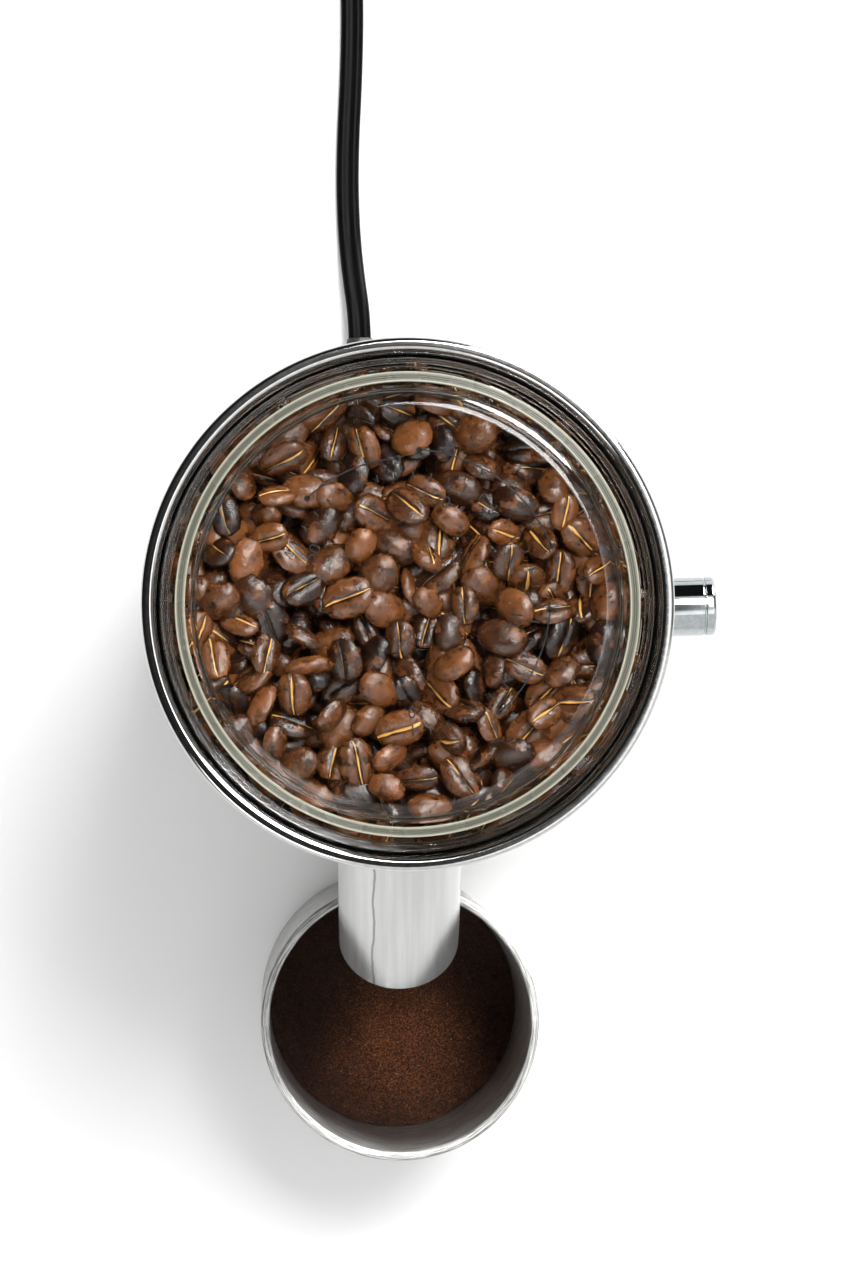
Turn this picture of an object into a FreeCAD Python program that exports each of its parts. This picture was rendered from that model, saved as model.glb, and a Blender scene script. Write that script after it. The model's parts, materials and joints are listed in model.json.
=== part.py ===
"""Burr coffee grinder with a lift-off cup, modelled as separate pieces.

Millimetres, +Z up. The origin is on the table, on the axis of the round body.
The spout and the cup are towards -Y, the push and turn knob towards +X and the
flex leaves towards +Y.
"""
import FreeCAD
import Part
import math
import os

from FreeCAD import Vector

# ---------------------------------------------------------------- body
BODY_RADIUS = 65.0
BODY_HEIGHT = 280.0
SHELL_WALL = 1.2
SHELL_BOTTOM = 2.5
SHELL_TOP = 198.0
PIECE_GAP = 0.1                 # between pieces that are fixed together
MOVING_GAP = 0.3                # between curved pieces that move past each other
RUNNING_GAP = 0.05              # radial clearance of a shaft or slide

PAD_THICKNESS = 3.0
PAD_INSET = 5.0                 # from the side of the body to the pad
BASE_BOTTOM = 1.5
BASE_TOP = 8.0
BASE_RIB_HEIGHT = 5.0
BASE_RIB_WALL = 2.0

# ---------------------------------------------------------------- frame and gears
POST_RADIUS = 3.5
POST_CIRCLE = 52.0
PLATE_BOTTOM = 114.0
PLATE_THICKNESS = 4.0
PLATE_MARGIN = 5.0              # from the side of the body to the plate
GEAR_MODULE = 1.0
GEAR_TEETH = 54
PINION_TEETH = 14
PRESSURE_ANGLE = 20.0
ADDENDUM = 0.8
DEDENDUM = 1.25
BACKLASH = 0.22
GEAR_WIDTH = 8.0
CASE_HEIGHT = 16.0
CASE_WALL = 2.5
HOUSING_FLOOR = 8.0
SHAFT_RADIUS = 4.0
BEARING_RADIUS = 11.0
BEARING_WIDTH = 7.0
RACE_WALL = 2.0
BALLS_PER_BEARING = 8
BOSS_WALL = 3.0
HOUSING_SCREW_RADIUS = 1.5
HOUSING_SCREW_CIRCLE = 39.0
HOUSING_FLOOR_RADIUS = 44.0
SCREW_EAR_RADIUS = 4.0
SMALL_SCREW_RADIUS = 1.25
FRAME_SCREW_RADIUS = 2.0
FRAME_SCREW_HEAD = 2.8          # height of the head
SCREW_FIT = 0.02                # from a screw to the hole that it grips
POST_START = 45.0               # angle of the first post

# ---------------------------------------------------------------- motor
MOTOR_RADIUS = 25.0
MOTOR_LENGTH = 70.0
MOTOR_WALL = 2.0
MOTOR_SHAFT_RADIUS = 2.5
ISOLATOR_THICKNESS = 4.0
END_BELL_LENGTH = 6.0
MOTOR_SCREW_CIRCLE = 20.0
MOTOR_BUSH_RADIUS = 5.0
MAGNET_THICKNESS = 4.5
COMMUTATOR_RADIUS = 7.0

# ---------------------------------------------------------------- burrs
CHAMBER_RADIUS = 33.0
CHAMBER_WALL = 3.0
CHAMBER_HEIGHT = 40.0
BURR_RADIUS = 29.0
BURR_BORE = 15.0
BURR_THICKNESS = 6.0
BURR_GAP = 1.0
BURR_GROOVES = 24
GROOVE_DEPTH = 1.6
GROOVE_WIDTH = 1.8
GROOVE_SLANT = 25.0
STUD_RADIUS = 2.5               # of the thread on the top of the shaft
BURR_SCREW_CIRCLE = (BURR_RADIUS + BURR_BORE) / 2
THREAD_RADIUS = 27.0
NECK_BORE = 19.0

# ---------------------------------------------------------------- collar, hopper, lid
COLLAR_HEIGHT = 16.0
COLLAR_GAP = 0.6                # between the shell and the collar
COLLAR_WALL = 1.6
HOPPER_WALL = 2.6
HOPPER_INSET = 1.0              # from the side of the body to the hopper wall
HOPPER_TOP_DROP = 8.1           # from the top of the rim to the top of the hopper wall
FUNNEL_TOP = 250.0
FUNNEL_BOTTOM = 222.0
FUNNEL_WALL = 2.0
THROAT_RADIUS = 18.4
THROAT_WALL = 1.8
THROAT_BOTTOM = 190.0
RIM_WIDTH = 3.1
RIM_BLOCK_HEIGHT = 8.0
RIM_SKIRT_HEIGHT = 10.0
LID_GAP = 0.15
LID_DROP = 1.7                  # the lid's flange lies this far below the rim
LID_FLANGE_WIDTH = 1.95
LID_SEAL_OUTER = 56.8
LID_SEAL_INNER = 54.3
LID_CROWN_DROP = 0.6            # the top of the clear window lies this far below the rim
LID_CROWN_CURVE = 6.0           # radius of the curve round the window
LID_CROWN_TURN = 60.0
LID_WALL = 2.0
LID_SKIRT_WALL = 1.6
LID_SKIRT_HEIGHT = 6.0
SEAL_CHANNEL_DEPTH = 3.8

# ---------------------------------------------------------------- spout and cup
SPOUT_RADIUS = 17.15
SPOUT_WALL = 1.3
SPOUT_ANGLE = 56.0              # below the horizontal
SPOUT_END_Y = -90.8
SPOUT_END_Z = 105.6
SPOUT_FLANGE_Y = -56.0
SPOUT_FLANGE_THICKNESS = 1.0
GASKET_THICKNESS = 1.0
CHUTE_PLATE_THICKNESS = 4.0
CHUTE_WIDTH = 26.0
CHUTE_HEIGHT = 23.0
CHUTE_WALL = 2.0
SPOUT_PLATE_WIDTH = 48.0
CUP_RADIUS = 40.3
CUP_WALL = 2.6
CUP_HEIGHT = 91.5
CUP_FLOOR = 3.0
CUP_Y = -115.9

# ---------------------------------------------------------------- knob
KNOB_Z = 150.0
KNOB_RADIUS = 8.2
KNOB_END = 88.8
KNOB_START_GAP = 2.5            # from the body to the back of the knob
KNOB_HOLLOW = 10.5              # depth of the hollow behind its face
KNOB_WALL = 2.0
BUSH_FLANGE = 1.3               # how far the bush stands out of the body
STEM_RADIUS = 3.0
BUSH_RADIUS = 5.0

# ---------------------------------------------------------------- flex
FLEX_WIDTH = 7.0
FLEX_THICKNESS = 3.5
FLEX_X = -3.0
FLEX_Z = 8.0
RELIEF_END_Y = 90.0
GLAND_RADIUS = 4.6
RELIEF_TIP = 4.4
RELIEF_CORE = 3.9               # radius under the grooves
COIL_CENTRE = (38.0, 253.0)
COIL_RADIUS = 39.0
COIL_HALF_WIDTH = 8.5
COIL_HEIGHT = 12.0
PLUG_LENGTH = 30.0
PLUG_WIDTH = 24.0
PLUG_THICKNESS = 13.0
PLUG_TAIL = 12.0                # length of its tapered tail
BLADE_LENGTH = 16.0
BLADE_OFFSET = 6.35             # from the middle of the plug to each blade
BLADE_THICKNESS = 1.5
BLADE_HEIGHT = 6.4

# Where the middle of the flex goes: x, y, z, from the strain relief to the coil.
FLEX_ROUTE = [
    (FLEX_X, RELIEF_END_Y, FLEX_Z),
    (FLEX_X, 98.0, FLEX_Z),
    (-4.2, 109.0, 5.4),
    (-5.0, 121.0, 2.4),
    (-5.2, 136.0, 1.8),
    (-4.5, 152.0, 1.8),
    (-2.9, 171.0, 1.8),
    (-1.8, 190.0, 1.8),
    (-1.5, 208.0, 1.8),
    (-1.9, 226.0, 1.8),
    (-1.4, 240.0, 1.8),
]

# The last of the flex, from the top turn of the coil to the plug.
TAIL_ROUTE = [
    (50.0, 291.0, 9.1),
    (62.0, 291.6, 8.9),
    (74.0, 293.8, 7.6),
    (86.0, 297.4, 6.5),
    (95.0, 297.4, 6.5),
]

# ---------------------------------------------------------------- worked-out places
SHELL_INNER = BODY_RADIUS - SHELL_WALL
BASE_RADIUS = SHELL_INNER - PIECE_GAP
PAD_RADIUS = BODY_RADIUS - PAD_INSET
PLATE_RADIUS = BODY_RADIUS - PLATE_MARGIN
PLATE_TOP = PLATE_BOTTOM + PLATE_THICKNESS
CASE_TOP = PLATE_TOP + CASE_HEIGHT
FLOOR_TOP = CASE_TOP + HOUSING_FLOOR
CHAMBER_OUTER = CHAMBER_RADIUS + CHAMBER_WALL
CHAMBER_TOP = FLOOR_TOP + CHAMBER_HEIGHT
MOTOR_Y = GEAR_MODULE * (GEAR_TEETH + PINION_TEETH) / 2
MOTOR_TOP = PLATE_BOTTOM - ISOLATOR_THICKNESS
MOTOR_BOTTOM = MOTOR_TOP - MOTOR_LENGTH
GEAR_BOTTOM = CASE_TOP - 3.0 - GEAR_WIDTH
LOWER_BEARING_Z = PLATE_BOTTOM + 0.5
UPPER_BEARING_Z = CASE_TOP + 0.5
LOWER_BURR_Z = FLOOR_TOP + 12.0
UPPER_BURR_Z = LOWER_BURR_Z + BURR_THICKNESS + BURR_GAP
UPPER_CARRIER_Z = UPPER_BURR_Z + BURR_THICKNESS
UPPER_CARRIER_TOP = UPPER_CARRIER_Z + 10.0
DECK_BOTTOM = CHAMBER_TOP + 6.0
DECK_TOP = DECK_BOTTOM + 4.0
COLLAR_BOTTOM = SHELL_TOP + COLLAR_GAP
COLLAR_TOP = COLLAR_BOTTOM + COLLAR_HEIGHT
COLLAR_INNER = BODY_RADIUS - COLLAR_WALL
NUT_BOTTOM = DECK_TOP + PIECE_GAP
NUT_TOP = COLLAR_BOTTOM + 0.4
NUT_RADIUS = BODY_RADIUS - 7.1
NUT_SHOULDER = NUT_RADIUS - 10
COLLAR_SCREW_CIRCLE = NUT_RADIUS - 5
HOPPER_OUTER = BODY_RADIUS - HOPPER_INSET
HOPPER_INNER = HOPPER_OUTER - HOPPER_WALL
HOPPER_BOTTOM = COLLAR_TOP + 0.2
HOPPER_TOP = BODY_HEIGHT - HOPPER_TOP_DROP
RIM_INNER = BODY_RADIUS - RIM_WIDTH
LID_OUTER = RIM_INNER - LID_GAP
LID_TOP = BODY_HEIGHT - LID_DROP
LID_CROWN = BODY_HEIGHT - LID_CROWN_DROP
SPOUT_DIRECTION = Vector(0, math.cos(math.radians(SPOUT_ANGLE)), math.sin(math.radians(SPOUT_ANGLE)))
SPOUT_END = Vector(0, SPOUT_END_Y, SPOUT_END_Z)
CHUTE_BOTTOM = FLOOR_TOP + 1.0
KNOB_START = BODY_RADIUS + KNOB_START_GAP
BRACKET_X = BODY_RADIUS - 9.0
BOARD_BOTTOM = BASE_TOP + 6.0
BOARD_TOP = BOARD_BOTTOM + 1.6
BOARD_PLACES = [(x, y) for x in (-26, 26) for y in (-44, 0)]


# ---------------------------------------------------------------- shape helpers
def cylinder(radius, bottom, top, x=0.0, y=0.0):
    """A cylinder that stands along Z."""
    return Part.makeCylinder(radius, top - bottom, Vector(x, y, bottom))


def ring(outer, inner, bottom, top, x=0.0, y=0.0):
    """A round tube that stands along Z."""
    return cylinder(outer, bottom, top, x, y).cut(cylinder(inner, bottom - 1, top + 1, x, y))


def cylinder_x(radius, start, end, y=0.0, z=0.0):
    """A cylinder that lies along X."""
    return Part.makeCylinder(radius, end - start, Vector(start, y, z), Vector(1, 0, 0))


def cylinder_y(radius, start, end, x=0.0, z=0.0):
    """A cylinder that lies along Y."""
    return Part.makeCylinder(radius, end - start, Vector(x, start, z), Vector(0, 1, 0))


def block(x0, x1, y0, y1, z0, z1):
    """A box between two corners."""
    return Part.makeBox(x1 - x0, y1 - y0, z1 - z0, Vector(x0, y0, z0))


def lathe(points):
    """A solid of revolution about Z from (radius, height) points."""
    corners = [Vector(r, 0, z) for r, z in points]
    outline = Part.makePolygon(corners + corners[:1])
    return Part.Face(outline).revolve(Vector(0, 0, 0), Vector(0, 0, 1), 360)


def round_at(solid, radius, heights, reach=None):
    """Fillet the circular edges that lie at the given heights.

    reach, when given, keeps only the edges whose radius is in that pair.
    """
    chosen = []
    for edge in solid.Edges:
        box = edge.BoundBox
        flat = box.ZLength < 1e-6 and any(abs(box.ZMin - h) < 1e-6 for h in heights)
        if not flat:
            continue
        size = box.XLength / 2
        if reach is None or reach[0] - 1e-6 <= size <= reach[1] + 1e-6:
            chosen.append(edge)
    return solid.makeFillet(radius, chosen)


def around(circle, count, start=0.0):
    """The x, y places of count things spaced evenly on a circle."""
    steps = [math.radians(start + 360.0 * i / count) for i in range(count)]
    return [(circle * math.cos(a), circle * math.sin(a)) for a in steps]


def screw(radius, bottom, top, x, y, head_up=True):
    """A pan-head screw along Z, with its head at the top or at the bottom."""
    head = 2.0 * radius
    height = 1.4 * radius
    shank = cylinder(radius, bottom, top, x, y)
    if head_up:
        return shank.fuse(cylinder(head, top, top + height, x, y))
    return shank.fuse(cylinder(head, bottom - height, bottom, x, y))


def group(solids):
    """Separate solids that share one node."""
    return Part.makeCompound(solids)


def involute_outline(teeth, phase):
    """The closed outline of a spur gear with thinned involute teeth."""
    pitch = GEAR_MODULE * teeth / 2
    base = pitch * math.cos(math.radians(PRESSURE_ANGLE))
    tip = pitch + ADDENDUM * GEAR_MODULE
    root = pitch - DEDENDUM * GEAR_MODULE
    tooth = math.pi / (2 * teeth) - BACKLASH / 2 / pitch
    angle = math.radians(PRESSURE_ANGLE)
    half_at_base = tooth + math.tan(angle) - angle
    flank_start = max(base, root)
    flank = []
    for i in range(6):
        radius = flank_start + (tip - flank_start) * i / 5
        roll = math.acos(min(1.0, base / radius))
        flank.append((radius, half_at_base - (math.tan(roll) - roll)))
    flank.insert(0, (root, flank[0][1]))
    points = []
    for t in range(teeth):
        middle = phase + 2 * math.pi * t / teeth
        left = [(r, middle - a) for r, a in flank]
        right = [(r, middle + a) for r, a in reversed(flank)]
        points += [Vector(r * math.cos(a), r * math.sin(a), 0) for r, a in left + right]
    return Part.makePolygon(points + points[:1])


def gear(teeth, bottom, width, bore, y, phase):
    """A spur gear on an axis along Z."""
    face = Part.Face(involute_outline(teeth, phase))
    blank = face.extrude(Vector(0, 0, width))
    blank.translate(Vector(0, y, bottom))
    return blank.cut(cylinder(bore, bottom - 1, bottom + width + 1, 0, y))


# ---------------------------------------------------------------- base and shell
def spout_cylinder(radius, length):
    """A cylinder on the spout's axis, from its open end into the body."""
    return Part.makeCylinder(radius, length, SPOUT_END, SPOUT_DIRECTION)


def foot_pad():
    """The rubber pad that the body stands on."""
    return round_at(cylinder(PAD_RADIUS, 0, PAD_THICKNESS), 0.6, [0])


def base_plate():
    """The moulded base: its rim, the posts of the board and the room for the flex."""
    plate = cylinder(BASE_RADIUS, BASE_BOTTOM, BASE_TOP)
    rib = ring(BASE_RADIUS, BASE_RADIUS - BASE_RIB_WALL, BASE_TOP, BASE_TOP + BASE_RIB_HEIGHT)
    plate = plate.fuse(rib)
    plate = plate.cut(cylinder(PAD_RADIUS + PIECE_GAP, 0, PAD_THICKNESS))
    gland_half = GLAND_RADIUS + PIECE_GAP
    gland_room = block(FLEX_X - 7, FLEX_X + 7, BODY_RADIUS - 11, BODY_RADIUS, FLEX_Z - gland_half,
                       BASE_TOP + BASE_RIB_HEIGHT + 1)
    plate = plate.cut(gland_room)
    for x, y in around(POST_CIRCLE, 4, POST_START):
        plate = plate.cut(cylinder(FRAME_SCREW_RADIUS + PIECE_GAP, BASE_BOTTOM, BASE_TOP + 1, x, y))
        head_room = 2 * FRAME_SCREW_RADIUS + PIECE_GAP
        plate = plate.cut(cylinder(head_room, BASE_BOTTOM, PAD_THICKNESS + FRAME_SCREW_HEAD, x, y))
    for x, y in BOARD_PLACES:
        plate = plate.fuse(cylinder(2.8, BASE_TOP - 1, BOARD_BOTTOM, x, y))
        plate = plate.cut(cylinder(SMALL_SCREW_RADIUS + SCREW_FIT, BASE_TOP - 0.5, BOARD_BOTTOM + 1, x, y))
    return plate.removeSplitter()


def outer_shell():
    """The steel tube round the works, open for the spout, the knob and the flex."""
    shell = ring(BODY_RADIUS, SHELL_INNER, SHELL_BOTTOM, SHELL_TOP)
    shell = shell.cut(spout_cylinder(SPOUT_RADIUS + PIECE_GAP, 110))
    shell = shell.cut(cylinder_x(BUSH_RADIUS + PIECE_GAP, BODY_RADIUS - 5, BODY_RADIUS + 5, 0, KNOB_Z))
    shell = shell.cut(cylinder_y(GLAND_RADIUS + PIECE_GAP, BODY_RADIUS - 5, BODY_RADIUS + 5, FLEX_X, FLEX_Z))
    return shell


def frame_screws():
    """The screws at both ends of the posts, and the two that hold the motor."""
    screws = []
    for x, y in around(POST_CIRCLE, 4, POST_START):
        screws.append(screw(FRAME_SCREW_RADIUS, PAD_THICKNESS + FRAME_SCREW_HEAD, BASE_TOP + 8, x, y, head_up=False))
        screws.append(screw(FRAME_SCREW_RADIUS, PLATE_BOTTOM - 8, PLATE_TOP, x, y))
    for side in (-1, 1):
        screws.append(screw(FRAME_SCREW_RADIUS, MOTOR_TOP - 3, PLATE_TOP, side * MOTOR_SCREW_CIRCLE, MOTOR_Y))
    return group(screws)


def frame_posts():
    """The four posts between the base and the gear plate."""
    posts = []
    for x, y in around(POST_CIRCLE, 4, POST_START):
        post = cylinder(POST_RADIUS, BASE_TOP, PLATE_BOTTOM, x, y)
        post = post.cut(cylinder(FRAME_SCREW_RADIUS + SCREW_FIT, BASE_TOP - 1, BASE_TOP + 10, x, y))
        posts.append(post.cut(cylinder(FRAME_SCREW_RADIUS + SCREW_FIT, PLATE_BOTTOM - 10, PLATE_BOTTOM + 1, x, y)))
    return group(posts)


def top_deck():
    """The deck that closes the body under the collar, with a sleeve round the chamber."""
    deck = ring(SHELL_INNER - PIECE_GAP, CHAMBER_OUTER - 1, DECK_BOTTOM, DECK_TOP)
    sleeve = ring(CHAMBER_OUTER + 2, CHAMBER_OUTER + PIECE_GAP, CHAMBER_TOP - 4, DECK_BOTTOM)
    upstand = ring(NUT_RADIUS + PIECE_GAP + 2, NUT_RADIUS + PIECE_GAP, DECK_TOP, SHELL_TOP - 1)
    stop = ring(CHAMBER_OUTER + 2, CHAMBER_OUTER - 1, CHAMBER_TOP, DECK_BOTTOM)
    return deck.fuse([sleeve, upstand, stop]).removeSplitter()


# ---------------------------------------------------------------- gearbox
def housing_screw_places():
    """The x, y places of the four long screws, clear of the motor and the chute."""
    x = HOUSING_SCREW_CIRCLE * math.cos(math.radians(30))
    y = HOUSING_SCREW_CIRCLE * math.sin(math.radians(30))
    return [(side * x, end * y) for side in (-1, 1) for end in (-1, 1)]


def case_outline(margin, bottom, top):
    """The outer form of the gear case, grown by a margin."""
    gear_room = GEAR_MODULE * GEAR_TEETH / 2 + 2.5 + margin
    pinion_room = GEAR_MODULE * PINION_TEETH / 2 + 2.5 + margin
    body = cylinder(gear_room, bottom, top)
    lobe = cylinder(pinion_room, bottom, top, 0, MOTOR_Y)
    bridge = block(-pinion_room, pinion_room, 0, MOTOR_Y, bottom, top)
    return body.fuse([lobe, bridge])


def gear_plate():
    """The plate that carries the motor and the lower bearing."""
    plate = cylinder(PLATE_RADIUS, PLATE_BOTTOM, PLATE_TOP)
    boss = cylinder(BEARING_RADIUS + BOSS_WALL, PLATE_TOP, LOWER_BEARING_Z + BEARING_WIDTH + 0.5)
    plate = plate.fuse(boss)
    plate = plate.cut(cylinder(BEARING_RADIUS, LOWER_BEARING_Z, PLATE_TOP + 20))
    plate = plate.cut(cylinder(BEARING_RADIUS - RACE_WALL, PLATE_BOTTOM - 1, PLATE_TOP))
    plate = plate.cut(cylinder(GEAR_MODULE * PINION_TEETH / 2 + 2, PLATE_BOTTOM - 1, PLATE_TOP + 1, 0, MOTOR_Y))
    for x, y in around(POST_CIRCLE, 4, POST_START):
        plate = plate.cut(cylinder(FRAME_SCREW_RADIUS + PIECE_GAP, PLATE_BOTTOM - 1, PLATE_TOP + 1, x, y))
    for side in (-1, 1):
        x = side * MOTOR_SCREW_CIRCLE
        plate = plate.cut(cylinder(FRAME_SCREW_RADIUS + PIECE_GAP, PLATE_BOTTOM - 1, PLATE_TOP + 1, x, MOTOR_Y))
    for x, y in housing_screw_places():
        plate = plate.cut(cylinder(HOUSING_SCREW_RADIUS + SCREW_FIT, PLATE_BOTTOM + 0.5, PLATE_TOP + 1, x, y))
    return plate.removeSplitter()


def gear_case():
    """The wall round the gears, with an ear for each long screw."""
    case = case_outline(CASE_WALL, PLATE_TOP, CASE_TOP)
    for x, y in housing_screw_places():
        ear = cylinder(SCREW_EAR_RADIUS, PLATE_TOP, CASE_TOP, x, y)
        reach = math.hypot(x, y)
        inward = cylinder(SCREW_EAR_RADIUS, PLATE_TOP, CASE_TOP, x * (reach - 6) / reach, y * (reach - 6) / reach)
        case = case.fuse([ear, inward])
    case = case.cut(case_outline(0, PLATE_TOP - 1, CASE_TOP + 1))
    for x, y in housing_screw_places():
        case = case.cut(cylinder(HOUSING_SCREW_RADIUS + PIECE_GAP, PLATE_TOP - 1, CASE_TOP + 1, x, y))
    return case.removeSplitter()


def grinder_housing():
    """The grinding chamber, its floor and the upper bearing seat."""
    floor = cylinder(HOUSING_FLOOR_RADIUS, CASE_TOP, FLOOR_TOP)
    floor = floor.fuse(cylinder(GEAR_MODULE * PINION_TEETH / 2 + 5, CASE_TOP, FLOOR_TOP, 0, MOTOR_Y))
    wall = ring(CHAMBER_OUTER, CHAMBER_RADIUS, FLOOR_TOP, CHAMBER_TOP)
    boss = cylinder(BEARING_RADIUS + BOSS_WALL, FLOOR_TOP, FLOOR_TOP + 4)
    housing = floor.fuse([wall, boss])
    housing = housing.cut(cylinder(BEARING_RADIUS, UPPER_BEARING_Z, FLOOR_TOP + 5))
    housing = housing.cut(cylinder(BEARING_RADIUS - RACE_WALL, CASE_TOP - 1, FLOOR_TOP))
    outlet_half = CHUTE_WIDTH / 2
    housing = housing.cut(block(-outlet_half, outlet_half, -CHAMBER_OUTER - 2, -CHAMBER_RADIUS / 2,
                                CHUTE_BOTTOM, CHUTE_BOTTOM + CHUTE_HEIGHT))
    for x, y in housing_screw_places():
        housing = housing.cut(cylinder(HOUSING_SCREW_RADIUS + PIECE_GAP, CASE_TOP - 1, FLOOR_TOP + 1, x, y))
    return housing.removeSplitter()


def housing_screws():
    """The four long screws through the housing and the gear case."""
    bottom = PLATE_BOTTOM + 1
    return group([screw(HOUSING_SCREW_RADIUS, bottom, FLOOR_TOP, x, y) for x, y in housing_screw_places()])


def main_bearings():
    """The outer races and the balls of both bearings."""
    race = BEARING_RADIUS - RACE_WALL
    rings = [ring(BEARING_RADIUS, race, z, z + BEARING_WIDTH) for z in (LOWER_BEARING_Z, UPPER_BEARING_Z)]
    return group(rings + bearing_balls())


def bearing_inner_races():
    """The races that turn with the shaft."""
    outer = SHAFT_RADIUS + RACE_WALL
    return group([ring(outer, SHAFT_RADIUS, z, z + BEARING_WIDTH) for z in (LOWER_BEARING_Z, UPPER_BEARING_Z)])


def bearing_balls():
    """The balls of both bearings."""
    inner = SHAFT_RADIUS + RACE_WALL
    outer = BEARING_RADIUS - RACE_WALL
    radius = (outer - inner) / 2 - 0.02
    balls = []
    for z in (LOWER_BEARING_Z, UPPER_BEARING_Z):
        for x, y in around((inner + outer) / 2, BALLS_PER_BEARING):
            balls.append(Part.makeSphere(radius, Vector(x, y, z + BEARING_WIDTH / 2)))
    return balls


def shaft_seal():
    """The seal that keeps grounds out of the upper bearing."""
    bottom = UPPER_BEARING_Z + BEARING_WIDTH
    return ring(BEARING_RADIUS, SHAFT_RADIUS + 0.2, bottom, FLOOR_TOP + 3.5)


# ---------------------------------------------------------------- burrs
def burr_shaft():
    """The shaft, with a thinner stud for the burr carrier."""
    shaft = cylinder(SHAFT_RADIUS, PLATE_BOTTOM - 3, LOWER_BURR_Z)
    stud = cylinder(STUD_RADIUS, LOWER_BURR_Z, LOWER_BURR_Z + 14)
    return shaft.fuse(stud)


def drive_gear():
    """The large gear on the burr shaft."""
    wheel = gear(GEAR_TEETH, GEAR_BOTTOM, GEAR_WIDTH, SHAFT_RADIUS, 0, math.pi / 2)
    pocket = ring(21, 9, GEAR_BOTTOM + 6, GEAR_BOTTOM + GEAR_WIDTH + 1)
    return wheel.cut(pocket)


def motor_pinion():
    """The small gear on the motor's shaft."""
    phase = -math.pi / 2 + math.pi / PINION_TEETH
    return gear(PINION_TEETH, GEAR_BOTTOM - 0.5, GEAR_WIDTH + 1, MOTOR_SHAFT_RADIUS, MOTOR_Y, phase)


def lower_burr_carrier():
    """The turning disc under the lower burr, with three sweeping paddles."""
    disc = cylinder(BURR_RADIUS - 1, LOWER_BURR_Z - 6, LOWER_BURR_Z)
    hub = cylinder(8, FLOOR_TOP + 4.5, LOWER_BURR_Z)
    carrier = disc.fuse(hub)
    for i in range(3):
        paddle = block(BURR_RADIUS - 3, CHAMBER_RADIUS - 1, -2, 2, FLOOR_TOP + 1, LOWER_BURR_Z - 1)
        paddle.rotate(Vector(0, 0, 0), Vector(0, 0, 1), 120 * i + 15)
        carrier = carrier.fuse(paddle)
    carrier = carrier.cut(cylinder(SHAFT_RADIUS, 0, LOWER_BURR_Z + 1))
    for x, y in around(BURR_SCREW_CIRCLE, 3):
        carrier = carrier.cut(cylinder(SMALL_SCREW_RADIUS + SCREW_FIT, LOWER_BURR_Z - 5, LOWER_BURR_Z + 1, x, y))
    return carrier.removeSplitter()


def burr(bottom, teeth_up):
    """One flat burr, with its slanted cutting grooves on one face."""
    plate = ring(BURR_RADIUS, BURR_BORE, bottom, bottom + BURR_THICKNESS)
    grooves = []
    for i in range(BURR_GROOVES):
        cutter = block(BURR_BORE - 2, BURR_RADIUS + 1, -GROOVE_WIDTH / 2, GROOVE_WIDTH / 2,
                       -GROOVE_DEPTH, GROOVE_DEPTH)
        cutter.rotate(Vector(BURR_BORE, 0, 0), Vector(0, 0, 1), GROOVE_SLANT)
        cutter.rotate(Vector(0, 0, 0), Vector(0, 0, 1), 360 * i / BURR_GROOVES + 5)
        cutter.translate(Vector(0, 0, bottom + BURR_THICKNESS if teeth_up else bottom))
        grooves.append(cutter)
    plate = plate.cut(grooves)
    for x, y in around(BURR_SCREW_CIRCLE, 3):
        plate = plate.cut(cylinder(SMALL_SCREW_RADIUS + PIECE_GAP, bottom - 1, bottom + BURR_THICKNESS + 1, x, y))
        sink = bottom + BURR_THICKNESS - 3 if teeth_up else bottom
        plate = plate.cut(cylinder(2 * SMALL_SCREW_RADIUS + PIECE_GAP, sink, sink + 3, x, y))
    return plate


def lower_burr():
    """The burr that turns."""
    return burr(LOWER_BURR_Z, True)


def upper_burr():
    """The burr that stands still and moves up and down."""
    return burr(UPPER_BURR_Z, False)


def burr_screws(seat, head_up):
    """The three screws that hold a burr, with their heads sunk into it."""
    places = around(BURR_SCREW_CIRCLE, 3)
    if head_up:
        return group([screw(SMALL_SCREW_RADIUS, seat - 7, seat, x, y) for x, y in places])
    return group([screw(SMALL_SCREW_RADIUS, seat, seat + 7, x, y, head_up=False) for x, y in places])


def lower_burr_screws():
    """The screws of the turning burr."""
    return burr_screws(LOWER_BURR_Z + 3, True)


def upper_burr_screws():
    """The screws of the still burr."""
    return burr_screws(UPPER_BURR_Z + 3, False)


def feed_cone():
    """The cone nut that holds the carrier and throws the beans outwards."""
    base = LOWER_BURR_Z
    cone = lathe([(STUD_RADIUS, base), (13, base), (13, base + 3), (5, base + 15), (3, base + 17),
                  (STUD_RADIUS, base + 17)])
    cap = cylinder(3, base + 14, base + 17)
    return cone.fuse(cap).removeSplitter()


def upper_burr_carrier():
    """The disc and neck that hold the upper burr."""
    disc = cylinder(CHAMBER_RADIUS - RUNNING_GAP, UPPER_CARRIER_Z, UPPER_CARRIER_TOP)
    neck = cylinder(THREAD_RADIUS - RUNNING_GAP, UPPER_CARRIER_TOP, NUT_TOP - 1)
    carrier = disc.fuse(neck)
    carrier = carrier.cut(cylinder(NECK_BORE, UPPER_CARRIER_Z + 6, NUT_TOP))
    carrier = carrier.cut(cylinder(BURR_BORE, UPPER_CARRIER_Z - 1, UPPER_CARRIER_Z + 7))
    for x, y in around(BURR_SCREW_CIRCLE, 3):
        carrier = carrier.cut(cylinder(SMALL_SCREW_RADIUS + SCREW_FIT, UPPER_CARRIER_Z - 1, UPPER_CARRIER_Z + 5, x, y))
    return carrier.removeSplitter()


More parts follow.
